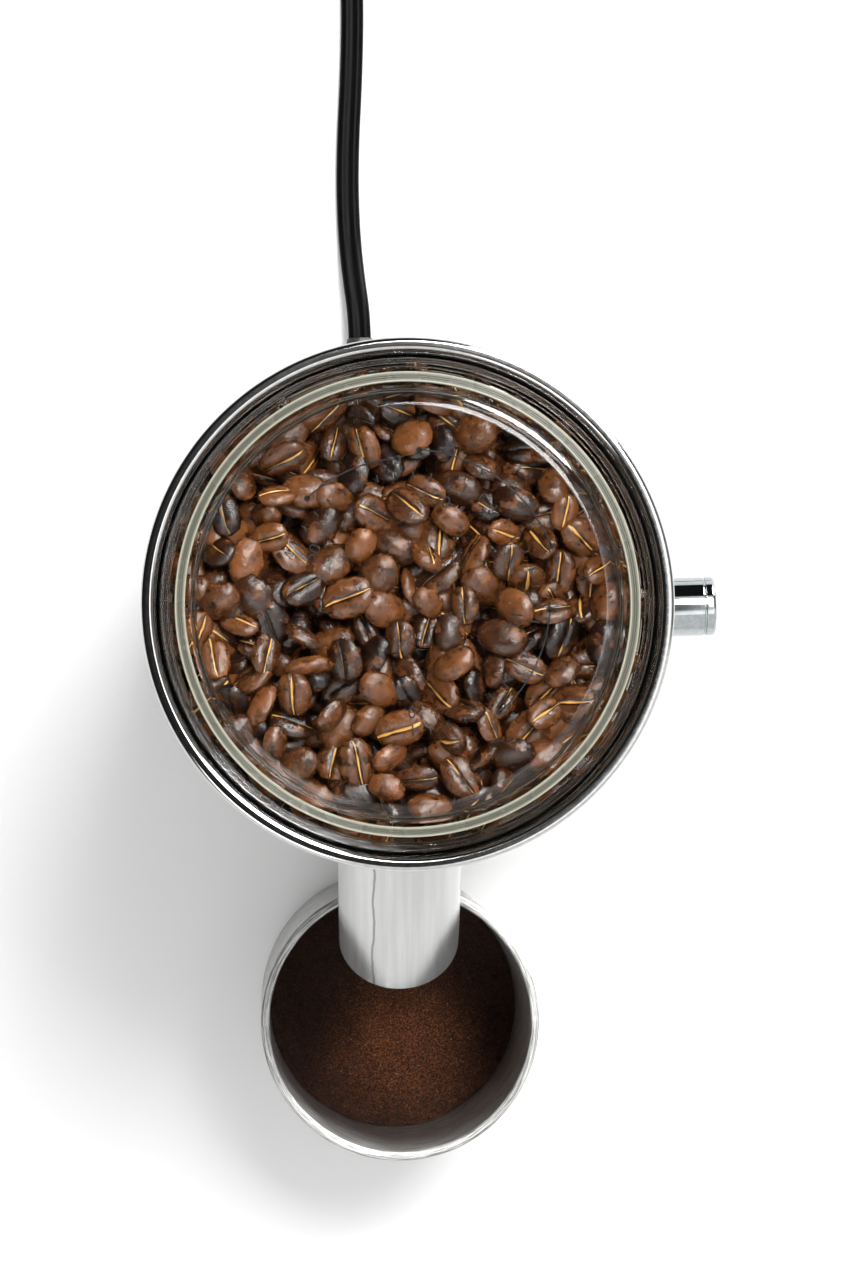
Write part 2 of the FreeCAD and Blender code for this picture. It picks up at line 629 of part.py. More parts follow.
# ---------------------------------------------------------------- collar
def collar_nut():
    """The nut round the carrier neck, turned by the collar."""
    web = ring(NUT_RADIUS, THREAD_RADIUS, NUT_BOTTOM, NUT_BOTTOM + 4)
    sleeve = ring(THREAD_RADIUS + 4, THREAD_RADIUS, CHAMBER_TOP + 2, NUT_TOP)
    shoulder = ring(NUT_RADIUS, NUT_SHOULDER, NUT_BOTTOM + 4, NUT_TOP)
    nut = web.fuse([sleeve, shoulder])
    for x, y in around(COLLAR_SCREW_CIRCLE, 3, 90):
        nut = nut.cut(cylinder(SMALL_SCREW_RADIUS + SCREW_FIT, NUT_BOTTOM + 1, NUT_TOP + 1, x, y))
    return nut.removeSplitter()


def adjust_collar():
    """The collar that a hand turns to set the grind."""
    wall = ring(BODY_RADIUS, COLLAR_INNER, COLLAR_BOTTOM, COLLAR_TOP)
    wall = round_at(wall, 0.5, [COLLAR_BOTTOM, COLLAR_TOP], (BODY_RADIUS, BODY_RADIUS))
    flange = ring(COLLAR_INNER + 0.5, NUT_SHOULDER, NUT_TOP, NUT_TOP + 3)
    collar = wall.fuse(flange)
    for x, y in around(COLLAR_SCREW_CIRCLE, 3, 90):
        collar = collar.cut(cylinder(SMALL_SCREW_RADIUS + PIECE_GAP, NUT_TOP - 1, NUT_TOP + 4, x, y))
    return collar


def collar_screws():
    """The three screws between the collar and its nut."""
    places = around(COLLAR_SCREW_CIRCLE, 3, 90)
    return group([screw(SMALL_SCREW_RADIUS, NUT_BOTTOM + 1.5, NUT_TOP + 3, x, y) for x, y in places])


# ---------------------------------------------------------------- hopper, rim and lid
def hopper():
    """The clear hopper: wall, funnel, throat and spigot."""
    ledge_radius = HOPPER_INNER - 1.0
    spigot_radius = COLLAR_INNER - MOVING_GAP / 2
    throat_inner = THROAT_RADIUS - THROAT_WALL
    outline = [
        (HOPPER_OUTER, HOPPER_BOTTOM), (HOPPER_OUTER, HOPPER_TOP), (ledge_radius, HOPPER_TOP),
        (ledge_radius, HOPPER_TOP - 2.5), (HOPPER_INNER, HOPPER_TOP - 4), (HOPPER_INNER, FUNNEL_TOP),
        (throat_inner, FUNNEL_BOTTOM), (throat_inner, THROAT_BOTTOM), (THROAT_RADIUS, THROAT_BOTTOM),
        (THROAT_RADIUS, FUNNEL_BOTTOM - FUNNEL_WALL), (HOPPER_INNER, FUNNEL_TOP - FUNNEL_WALL - 1),
        (HOPPER_INNER, HOPPER_BOTTOM - 7), (spigot_radius, HOPPER_BOTTOM - 7), (spigot_radius, HOPPER_BOTTOM),
    ]
    return lathe(outline)


def finger_guard():
    """The bar across the throat."""
    throat_inner = THROAT_RADIUS - THROAT_WALL
    guard = ring(throat_inner, throat_inner - 1.5, FUNNEL_BOTTOM - 12, FUNNEL_BOTTOM - 8)
    half = throat_inner - 1
    bar = block(-half, half, -1.2, 1.2, FUNNEL_BOTTOM - 12, FUNNEL_BOTTOM - 9)
    return guard.fuse(bar).removeSplitter()


def rim_ring():
    """The polished ring on top, with a skirt outside the hopper wall."""
    block_bottom = BODY_HEIGHT - RIM_BLOCK_HEIGHT
    top = ring(BODY_RADIUS, RIM_INNER, block_bottom, BODY_HEIGHT)
    top = round_at(top, 1.7, [BODY_HEIGHT], (BODY_RADIUS, BODY_RADIUS))
    top = round_at(top, 1.0, [BODY_HEIGHT], (RIM_INNER, BODY_RADIUS - 0.5))
    skirt = ring(BODY_RADIUS, HOPPER_OUTER + PIECE_GAP, block_bottom - RIM_SKIRT_HEIGHT, block_bottom)
    return top.fuse(skirt).removeSplitter()


def lid():
    """The clear lid: flange, groove, seal channel, crowned window and skirt."""
    flange_inner = LID_OUTER - LID_FLANGE_WIDTH
    rest = BODY_HEIGHT - RIM_BLOCK_HEIGHT
    plug = HOPPER_INNER - 1.0 - LID_GAP
    skirt_inner = plug - LID_SKIRT_WALL
    channel = LID_TOP - SEAL_CHANNEL_DEPTH
    under = channel - LID_WALL
    ceiling = LID_CROWN - LID_WALL
    wall_inner = LID_SEAL_INNER - LID_WALL - 0.5
    reach = LID_CROWN_CURVE * math.sin(math.radians(LID_CROWN_TURN))
    curve_start = LID_SEAL_INNER - 0.8 - reach
    curve = []
    for i in range(8):
        turn = math.radians(LID_CROWN_TURN * i / 7)
        curve.append((curve_start + LID_CROWN_CURVE * math.sin(turn),
                      LID_CROWN - LID_CROWN_CURVE * (1 - math.cos(turn))))
    outline = [
        (0, ceiling), (0, LID_CROWN), *curve, (LID_SEAL_INNER, curve[-1][1]), (LID_SEAL_INNER, channel),
        (LID_SEAL_OUTER, channel), (LID_SEAL_OUTER, channel + 0.4), (flange_inner - 0.6, channel + 0.4),
        (flange_inner, LID_TOP), (LID_OUTER - 0.4, LID_TOP), (LID_OUTER, LID_TOP - 0.4), (LID_OUTER, rest),
        (plug, rest), (plug, rest - LID_SKIRT_HEIGHT), (skirt_inner, rest - LID_SKIRT_HEIGHT),
        (skirt_inner, under), (wall_inner, under), (wall_inner, ceiling - 1.8), (wall_inner - 2.4, ceiling),
    ]
    return lathe(outline)


def lid_seal():
    """The ring that presses the lid tight."""
    seal = ring(LID_SEAL_OUTER, LID_SEAL_INNER, LID_TOP - SEAL_CHANNEL_DEPTH, LID_TOP - 0.7)
    return round_at(seal, 0.5, [LID_TOP - 0.7])


# ---------------------------------------------------------------- spout, chute and cup
def spout_plane_trim(front):
    """Everything behind a plane across the body, to trim the slanted tube."""
    return block(-60, 60, front, front + 120, 0, 300)


def spout_plate(front, back):
    """A flat plate behind the spout, as high as the slanted tube's mouth there."""
    half = SPOUT_PLATE_WIDTH / 2
    return block(-half, half, front, back, CHUTE_BOTTOM - 21, DECK_BOTTOM - 0.4)


def spout_screw_places():
    """The x, z places of the four screws of the spout."""
    x = SPOUT_PLATE_WIDTH / 2 - 3.4
    return [(side * x, z) for side in (-1, 1) for z in (CHUTE_BOTTOM - 16.5, DECK_BOTTOM - 5)]


def spout_tube():
    """The slanted steel tube and the flange behind it."""
    tube = spout_cylinder(SPOUT_RADIUS, 110).cut(spout_plane_trim(SPOUT_FLANGE_Y))
    flange = spout_plate(SPOUT_FLANGE_Y - SPOUT_FLANGE_THICKNESS, SPOUT_FLANGE_Y)
    tube = tube.fuse(flange)
    bore = spout_cylinder(SPOUT_RADIUS - SPOUT_WALL, 120)
    tube = tube.cut(bore)
    for x, z in spout_screw_places():
        tube = tube.cut(cylinder_y(SMALL_SCREW_RADIUS + PIECE_GAP, SPOUT_FLANGE_Y - 3, SPOUT_FLANGE_Y + 1, x, z))
    return tube.removeSplitter()


def chute_opening(front, back):
    """The block cut out where the grounds pass."""
    half = CHUTE_WIDTH / 2
    return block(-half, half, front, back, CHUTE_BOTTOM, CHUTE_BOTTOM + CHUTE_HEIGHT)


def chute_gasket():
    """The gasket between the spout and the chute."""
    back = SPOUT_FLANGE_Y + GASKET_THICKNESS
    gasket = spout_plate(SPOUT_FLANGE_Y, back).cut(chute_opening(SPOUT_FLANGE_Y - 1, back + 1))
    for x, z in spout_screw_places():
        gasket = gasket.cut(cylinder_y(SMALL_SCREW_RADIUS + PIECE_GAP, SPOUT_FLANGE_Y - 1, back + 1, x, z))
    return gasket


def chute():
    """The duct from the chamber to the spout."""
    front = SPOUT_FLANGE_Y + GASKET_THICKNESS
    back = front + CHUTE_PLATE_THICKNESS
    half = CHUTE_WIDTH / 2 + CHUTE_WALL
    duct = block(-half, half, back, -CHAMBER_RADIUS, CHUTE_BOTTOM - CHUTE_WALL,
                 CHUTE_BOTTOM + CHUTE_HEIGHT + CHUTE_WALL)
    body = spout_plate(front, back).fuse(duct)
    body = body.cut(cylinder(CHAMBER_OUTER + PIECE_GAP, CHUTE_BOTTOM - 30, DECK_BOTTOM + 10))
    body = body.cut(cylinder(HOUSING_FLOOR_RADIUS + PIECE_GAP, CASE_TOP - 20, FLOOR_TOP + 0.05))
    body = body.cut(chute_opening(front - 1, 0))
    for x, z in spout_screw_places():
        body = body.cut(cylinder_y(SMALL_SCREW_RADIUS + SCREW_FIT, front - 1, back + 1, x, z))
    return body.removeSplitter()


def small_screws():
    """The four screws of the spout and the four of the control board."""
    screws = [screw(SMALL_SCREW_RADIUS, BASE_TOP + 0.5, BOARD_TOP, x, y) for x, y in BOARD_PLACES]
    face = SPOUT_FLANGE_Y - SPOUT_FLANGE_THICKNESS
    for x, z in spout_screw_places():
        shank = cylinder_y(SMALL_SCREW_RADIUS, face, SPOUT_FLANGE_Y + 4.5, x, z)
        screws.append(shank.fuse(cylinder_y(1.8 * SMALL_SCREW_RADIUS, face - 1.2, face, x, z)))
    return group(screws)


def grounds_cup():
    """The cup that catches the grounds."""
    cup = cylinder(CUP_RADIUS, 0, CUP_HEIGHT, 0, CUP_Y)
    cup = round_at(cup, 1.5, [0])
    cup = cup.cut(cylinder(CUP_RADIUS - CUP_WALL, CUP_FLOOR, CUP_HEIGHT + 1, 0, CUP_Y))
    inner = CUP_RADIUS - CUP_WALL
    cup = round_at(cup, 0.9, [CUP_HEIGHT], (inner, CUP_RADIUS))
    return round_at(cup, 2.5, [CUP_FLOOR], (inner, inner))


# ---------------------------------------------------------------- knob
def knob_cap():
    """The knob, hollow behind its face."""
    cap = cylinder_x(KNOB_RADIUS, KNOB_START, KNOB_END, 0, KNOB_Z)
    end = [e for e in cap.Edges if abs(e.BoundBox.XMin - KNOB_END) < 1e-6 and e.BoundBox.XLength < 1e-6]
    cap = cap.makeFillet(1.1, end)
    cap = cap.cut(cylinder_x(KNOB_RADIUS - KNOB_WALL, KNOB_START - 1, KNOB_START + KNOB_HOLLOW, 0, KNOB_Z))
    return cap.cut(cylinder_x(STEM_RADIUS + RUNNING_GAP, KNOB_START, KNOB_END - 6, 0, KNOB_Z))


def knob_stem():
    """The rod behind the knob."""
    return cylinder_x(STEM_RADIUS, BRACKET_X - 4.5, KNOB_END - 6.5, 0, KNOB_Z)


def knob_bush():
    """The bush that the rod slides in."""
    bush = cylinder_x(BUSH_RADIUS, BRACKET_X, BODY_RADIUS + BUSH_FLANGE, 0, KNOB_Z)
    flange = cylinder_x(BUSH_RADIUS + 1, BODY_RADIUS + 0.1, BODY_RADIUS + BUSH_FLANGE, 0, KNOB_Z)
    bush = bush.fuse(flange)
    return bush.cut(cylinder_x(STEM_RADIUS + RUNNING_GAP, 0, 100, 0, KNOB_Z)).removeSplitter()


def knob_bush_nut():
    """The nut that holds the bush to the bracket."""
    hexagon = [Vector(BRACKET_X + 1.5, 7.5 * math.cos(a), KNOB_Z + 7.5 * math.sin(a))
               for a in [math.radians(60 * i) for i in range(6)]]
    face = Part.Face(Part.makePolygon(hexagon + hexagon[:1]))
    nut = face.extrude(Vector(2.5, 0, 0))
    return nut.cut(cylinder_x(BUSH_RADIUS, 0, 100, 0, KNOB_Z))


def knob_spring():
    """The spring that pushes the knob out."""
    wire_radius = 0.4
    start = BODY_RADIUS + BUSH_FLANGE + wire_radius + 0.1
    length = KNOB_START + KNOB_HOLLOW - start - wire_radius - 0.1
    coil_radius = STEM_RADIUS + 1.2
    helix = Part.makeHelix(length / 5, length, coil_radius)
    profile = Part.Wire(Part.makeCircle(wire_radius, Vector(coil_radius, 0, 0), Vector(0, 1, 0)))
    spring = Part.Wire(helix).makePipeShell([profile], True, True)
    spring.rotate(Vector(0, 0, 0), Vector(0, 1, 0), 90)
    spring.translate(Vector(start, 0, KNOB_Z))
    return spring


def switch_body():
    """The switch that the rod works."""
    depth = 14.0
    body = block(BRACKET_X - depth, BRACKET_X, -7, 7, KNOB_Z - 7, KNOB_Z + 7)
    return body.cut(cylinder_x(STEM_RADIUS + PIECE_GAP, BRACKET_X - 7, BRACKET_X + 1, 0, KNOB_Z))


def switch_bracket():
    """The bracket for the switch and the bush."""
    upright = block(BRACKET_X, BRACKET_X + 1.5, -9, 9, PLATE_TOP, KNOB_Z + 10)
    foot = block(BRACKET_X - 12, BRACKET_X + 1.5, -9, 9, PLATE_TOP, PLATE_TOP + 1.5)
    bracket = upright.fuse(foot)
    bracket = bracket.cut(cylinder_x(BUSH_RADIUS + PIECE_GAP, BRACKET_X - 1, BRACKET_X + 3, 0, KNOB_Z))
    return bracket.removeSplitter()


# ---------------------------------------------------------------- motor
def motor_can():
    """The motor's steel can."""
    can = cylinder(MOTOR_RADIUS, MOTOR_BOTTOM, MOTOR_TOP, 0, MOTOR_Y)
    can = can.cut(cylinder(MOTOR_RADIUS - MOTOR_WALL, MOTOR_BOTTOM - 1, MOTOR_TOP - 3, 0, MOTOR_Y))
    can = can.cut(cylinder(MOTOR_BUSH_RADIUS, MOTOR_TOP - 4, MOTOR_TOP + 1, 0, MOTOR_Y))
    for side in (-1, 1):
        x = side * MOTOR_SCREW_CIRCLE
        can = can.cut(cylinder(FRAME_SCREW_RADIUS + SCREW_FIT, MOTOR_TOP - 4, MOTOR_TOP + 1, x, MOTOR_Y))
    return can


def motor_end_bell():
    """The lower end of the motor."""
    bottom = MOTOR_BOTTOM - END_BELL_LENGTH
    bell = cylinder(MOTOR_RADIUS, bottom + 2, MOTOR_BOTTOM, 0, MOTOR_Y)
    bell = bell.fuse(cylinder(8, bottom, MOTOR_BOTTOM, 0, MOTOR_Y))
    return bell.cut(cylinder(MOTOR_BUSH_RADIUS, bottom + 1.5, MOTOR_BOTTOM + 1, 0, MOTOR_Y)).removeSplitter()


def motor_bushes():
    """The bushes that the motor's shaft turns in."""
    low = ring(MOTOR_BUSH_RADIUS, MOTOR_SHAFT_RADIUS + RUNNING_GAP, MOTOR_BOTTOM - 4.5, MOTOR_BOTTOM, 0, MOTOR_Y)
    high = ring(MOTOR_BUSH_RADIUS, MOTOR_SHAFT_RADIUS + RUNNING_GAP, MOTOR_TOP - 3, MOTOR_TOP, 0, MOTOR_Y)
    return group([low, high])


def motor_magnets():
    """The two magnets inside the can."""
    bottom, top = MOTOR_BOTTOM + 14, MOTOR_TOP - 12
    whole = ring(MOTOR_RADIUS - MOTOR_WALL, MOTOR_RADIUS - MOTOR_WALL - MAGNET_THICKNESS, bottom, top, 0, MOTOR_Y)
    gap = block(-4, 4, MOTOR_Y - 30, MOTOR_Y + 30, bottom - 1, top + 1)
    return group(whole.cut(gap).Solids)


def armature():
    """The slotted core and the commutator, side by side on the motor's shaft."""
    bottom, top = MOTOR_BOTTOM + 15, MOTOR_TOP - 13
    radius = MOTOR_RADIUS - 7.2
    core = cylinder(radius, bottom, top, 0, MOTOR_Y)
    for x, y in around(radius, 7):
        core = core.cut(cylinder(2.2, bottom - 1, top + 1, x, y + MOTOR_Y))
    core = core.cut(cylinder(MOTOR_SHAFT_RADIUS, bottom - 1, top + 1, 0, MOTOR_Y))
    commutator = ring(COMMUTATOR_RADIUS, MOTOR_SHAFT_RADIUS, MOTOR_BOTTOM + 2, MOTOR_BOTTOM + 12, 0, MOTOR_Y)
    return group([core, commutator])


def motor_brushes():
    """The two brushes on the commutator."""
    low, high = MOTOR_BOTTOM + 4, MOTOR_BOTTOM + 10
    reach = MOTOR_RADIUS - MOTOR_WALL - 0.5
    sides = [(COMMUTATOR_RADIUS + 0.4, reach), (-reach, -COMMUTATOR_RADIUS - 0.4)]
    return group([block(x0, x1, MOTOR_Y - 2.5, MOTOR_Y + 2.5, low, high) for x0, x1 in sides])


def motor_shaft():
    """The motor's shaft."""
    return cylinder(MOTOR_SHAFT_RADIUS, MOTOR_BOTTOM - 4, GEAR_BOTTOM + GEAR_WIDTH + 1, 0, MOTOR_Y)


def motor_isolator():
    """The pad between the motor and the gear plate."""
    pad = ring(MOTOR_RADIUS - 1, 13.0, MOTOR_TOP, PLATE_BOTTOM, 0, MOTOR_Y)
    for side in (-1, 1):
        x = side * MOTOR_SCREW_CIRCLE
        pad = pad.cut(cylinder(FRAME_SCREW_RADIUS + PIECE_GAP, MOTOR_TOP - 1, PLATE_BOTTOM + 1, x, MOTOR_Y))
    return pad


# ---------------------------------------------------------------- electronics
def control_board():
    """The circuit board on its posts."""
    board = block(-30, 30, -48, 4, BOARD_BOTTOM, BOARD_TOP)
    for x, y in BOARD_PLACES:
        board = board.cut(cylinder(SMALL_SCREW_RADIUS + PIECE_GAP, BOARD_BOTTOM - 1, BOARD_TOP + 1, x, y))
    return board


def board_components():
    """The larger parts on the board."""
    capacitor = cylinder(8, BOARD_TOP, BOARD_TOP + 22, -14, -32)
    relay = block(4, 20, -42, -30, BOARD_TOP, BOARD_TOP + 15)
    transformer = block(-20, 2, -18, 0, BOARD_TOP, BOARD_TOP + 18)
    terminals = block(8, 28, -22, -12, BOARD_TOP, BOARD_TOP + 9)
    return group([capacitor, relay, transformer, terminals])


# ---------------------------------------------------------------- flex and plug
def strain_relief():
    """The grooved sleeve where the flex leaves, and the flange inside."""
    sleeve = Part.makeCone(GLAND_RADIUS, RELIEF_TIP, RELIEF_END_Y - BODY_RADIUS, Vector(FLEX_X, BODY_RADIUS, FLEX_Z),
                           Vector(0, 1, 0))
    neck = cylinder_y(GLAND_RADIUS, BODY_RADIUS - 4, BODY_RADIUS, FLEX_X, FLEX_Z)
    flange = block(FLEX_X - 6.5, FLEX_X + 6.5, BODY_RADIUS - 7, BODY_RADIUS - 4,
                   FLEX_Z - GLAND_RADIUS, FLEX_Z + GLAND_RADIUS)
    relief = sleeve.fuse([neck, flange])
    for i in range(5):
        y = BODY_RADIUS + 5 + 4 * i
        slot = cylinder_y(6, y, y + 1.4, FLEX_X, FLEX_Z).cut(cylinder_y(RELIEF_CORE, y - 1, y + 3, FLEX_X, FLEX_Z))
        relief = relief.cut(slot)
    return relief.removeSplitter()


def rounded_path(points):
    """Straight runs joined by tangent arcs."""
    corners = [Vector(*p) for p in points]
    edges = []
    here = corners[0]
    for before, corner, after in zip(corners, corners[1:], corners[2:]):
        back = (before - corner)
        forth = (after - corner)
        turn = math.pi - back.getAngle(forth)
        reach = 0.45 * min(back.Length, forth.Length)
        radius = reach / math.tan(turn / 2)
        start = corner + back.normalize() * reach
        end = corner + forth.normalize() * reach
        middle_way = (back + forth).normalize()
        middle = corner + middle_way * (radius / math.cos(turn / 2) - radius)
        edges.append(Part.LineSegment(here, start).toShape())
        edges.append(Part.Arc(start, middle, end).toShape())
        here = end
    edges.append(Part.LineSegment(here, corners[-1]).toShape())
    return Part.Wire(edges)


def flat_flex(points):
    """The twin flex, lying flat along a route of runs and arcs."""
    path = rounded_path(points)
    half_width = FLEX_WIDTH / 2
    half_height = FLEX_THICKNESS / 2
    section = block(-half_width, half_width, 0, 1, -half_height, half_height)
    upright = [e for e in section.Edges if abs(e.BoundBox.YLength - 1) < 1e-6]
    section = section.makeFillet(half_height * 0.98, upright)
    outline = [f for f in section.Faces if abs(f.CenterOfMass.y) < 1e-6][0].OuterWire
    first = Vector(*points[0])
    heading = Vector(*points[1]) - first
    pitch = math.atan2(heading.z, math.hypot(heading.x, heading.y))
    outline.rotate(Vector(0, 0, 0), Vector(1, 0, 0), math.degrees(pitch))
    outline.rotate(Vector(0, 0, 0), Vector(0, 0, 1), -math.degrees(math.atan2(heading.x, heading.y)))
    outline.translate(first)
    maker = Part.BRepOffsetAPI.MakePipeShell(path)
    maker.setBiNormalMode(Vector(0, 0, 1))
    maker.add(outline)
    maker.build()
    maker.makeSolid()
    return Part.Solid(maker.shape())


def power_cord():
    """The flex from the body to the coil."""
    return flat_flex(FLEX_ROUTE).cut(coil_envelope())


def cord_tail():
    """The flex from the coil to the plug."""
    return flat_flex(TAIL_ROUTE).cut(coil_envelope())


def coil_envelope():
    """The outer shape of the put-away turns."""
    x, y = COIL_CENTRE
    return ring(COIL_RADIUS + COIL_HALF_WIDTH, COIL_RADIUS - COIL_HALF_WIDTH, 0, COIL_HEIGHT, x, y)


def cord_coil():
    """The put-away turns of the flex, as one ring."""
    return coil_envelope()


def cord_tie():
    """The strap round the turns."""
    x, y = COIL_CENTRE
    angle = -30.0
    gap = 0.4
    low, high = COIL_RADIUS - COIL_HALF_WIDTH - gap, COIL_RADIUS + COIL_HALF_WIDTH + gap
    wall = 1.0
    outside = block(low - wall - 0.6, high + wall, -4, 4, 0.0, COIL_HEIGHT + gap + wall)
    inside = block(low - 0.6, high, -5, 5, -1.0, COIL_HEIGHT + gap)
    tie = outside.cut(inside)
    tie.rotate(Vector(0, 0, 0), Vector(0, 0, 1), angle)
    tie.translate(Vector(x, y, 0))
    return tie


def plug_body():
    """The plug and its tapered tail."""
    x, y, height = TAIL_ROUTE[-1]
    half = PLUG_WIDTH / 2
    body = block(x + PLUG_TAIL, x + PLUG_LENGTH, y - half, y + half, 0, PLUG_THICKNESS)
    upright = [e for e in body.Edges if abs(e.BoundBox.ZLength - PLUG_THICKNESS) < 1e-6]
    body = body.makeFillet(3.0, upright)
    tail = Part.makeCone(RELIEF_CORE, 5.5, PLUG_TAIL, Vector(x, y, height), Vector(1, 0, 0))
    return body.fuse(tail).removeSplitter()


def plug_blades():
    """The plug's two blades."""
    x, y, height = TAIL_ROUTE[-1]
    start = x + PLUG_LENGTH
    blades = []
    for side in (-1, 1):
        middle = y + side * BLADE_OFFSET
        blades.append(block(start, start + BLADE_LENGTH, middle - BLADE_THICKNESS / 2, middle + BLADE_THICKNESS / 2,
                            height - BLADE_HEIGHT / 2, height + BLADE_HEIGHT / 2))
    return group(blades)


NODES = [
    foot_pad, base_plate, outer_shell, frame_posts, frame_screws, top_deck,
    gear_plate, gear_case, grinder_housing, housing_screws, main_bearings, shaft_seal,
    burr_shaft, bearing_inner_races, drive_gear, lower_burr_carrier, lower_burr,
    lower_burr_screws, feed_cone, upper_burr, upper_burr_carrier, upper_burr_screws,
    collar_nut, adjust_collar, collar_screws, hopper, finger_guard, rim_ring, lid, lid_seal,
    spout_tube, chute_gasket, chute, small_screws, grounds_cup,
    knob_cap, knob_stem, knob_bush, knob_bush_nut, knob_spring, switch_body, switch_bracket,
    motor_can, motor_end_bell, motor_bushes, motor_magnets, armature, motor_brushes,
    motor_shaft, motor_pinion, motor_isolator,
    control_board, board_components,
    strain_relief, power_cord, cord_coil, cord_tie, cord_tail, plug_body, plug_blades,
]


def main():
    """Build every node and write it to its own file."""
    os.makedirs("parts", exist_ok=True)
    for make in NODES:
        shape = make()
        if not shape.isValid() or not shape.Solids:
            print("NOT VALID", make.__name__)
        shape.exportStep("parts/" + make.__name__ + ".step")


main()
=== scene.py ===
"""Burr coffee grinder: the looks of every piece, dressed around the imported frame.

Metres, +Z up. The spout and the cup are towards -Y, the knob towards +X and the flex towards +Y.
"""
from __future__ import annotations

import json
import logging
import math
import random
from dataclasses import dataclass, field
from enum import Enum

import bmesh
import bpy
from mathutils import Euler, Matrix, Vector


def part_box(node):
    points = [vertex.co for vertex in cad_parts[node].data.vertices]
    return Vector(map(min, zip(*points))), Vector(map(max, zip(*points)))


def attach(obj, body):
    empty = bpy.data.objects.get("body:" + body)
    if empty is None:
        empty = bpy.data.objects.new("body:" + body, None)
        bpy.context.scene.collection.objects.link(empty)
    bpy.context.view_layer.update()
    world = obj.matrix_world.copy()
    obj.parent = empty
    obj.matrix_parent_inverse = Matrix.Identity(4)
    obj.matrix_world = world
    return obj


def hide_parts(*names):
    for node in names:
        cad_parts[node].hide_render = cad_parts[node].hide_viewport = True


MM = 0.001
LOG = logging.getLogger("grinder")
Point = tuple[float, float, float]
Profile = list[tuple[float, float]]
Corner = tuple[float, ...]     # radius, height and, where it is rounded, the rounding

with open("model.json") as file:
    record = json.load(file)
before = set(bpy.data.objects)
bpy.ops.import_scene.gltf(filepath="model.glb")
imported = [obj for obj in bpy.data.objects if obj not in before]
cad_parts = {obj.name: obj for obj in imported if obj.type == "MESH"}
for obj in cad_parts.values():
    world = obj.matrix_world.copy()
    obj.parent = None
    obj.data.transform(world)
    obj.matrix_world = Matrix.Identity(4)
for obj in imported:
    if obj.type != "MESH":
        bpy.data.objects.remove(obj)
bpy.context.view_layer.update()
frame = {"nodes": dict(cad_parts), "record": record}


class Body(Enum):
    """The moving bodies that pieces ride on."""

    BASE = "base"
    COLLAR = "collar"
    HOPPER = "hopper_unit"
    LID = "lid_unit"
    KNOB = "knob"
    CUP = "cup"


# ------------------------------------------------------------------ shader building
class Signal:
    """A shader number that can be used in ordinary arithmetic."""

    def __init__(self, tree: Tree, socket: bpy.types.NodeSocket) -> None:
        """Keep the tree that new nodes go into and the socket that carries the number."""
        self.tree = tree
        self.socket = socket

    def through(self, operation: str, *others: Signal | float, clamp: bool = False) -> Signal:
        """Pass the number through a Math node.

        Args:
            operation: The Math node's operation.
            others: The second and third operands.
            clamp: Whether the result is kept between 0 and 1.

        Returns:
            The result as a new signal.
        """
        operands = dict(enumerate((self, *others)))
        node = self.tree.node("ShaderNodeMath", {"operation": operation, "use_clamp": clamp}, operands)
        return Signal(self.tree, node.outputs[0])

    def __add__(self, other: Signal | float) -> Signal:
        """Add."""
        return self.through("ADD", other)

    __radd__ = __add__

    def __mul__(self, other: Signal | float) -> Signal:
        """Multiply."""
        return self.through("MULTIPLY", other)

    __rmul__ = __mul__

    def __sub__(self, other: Signal | float) -> Signal:
        """Subtract."""
        return self.through("SUBTRACT", other)

    def __rsub__(self, other: float) -> Signal:
        """Subtract this signal from a number."""
        return self.through("MULTIPLY", -1.0) + other

    def __pow__(self, other: float) -> Signal:
        """Raise to a power."""
        return self.through("POWER", other)

    def between(self, low: float, high: float) -> Signal:
        """Rise smoothly from 0 at low to 1 at high."""
        node = self.tree.node(
            "ShaderNodeMapRange",
            {"interpolation_type": "SMOOTHSTEP"},
            {"Value": self, "From Min": low, "From Max": high},
        )
        return Signal(self.tree, node.outputs["Result"])


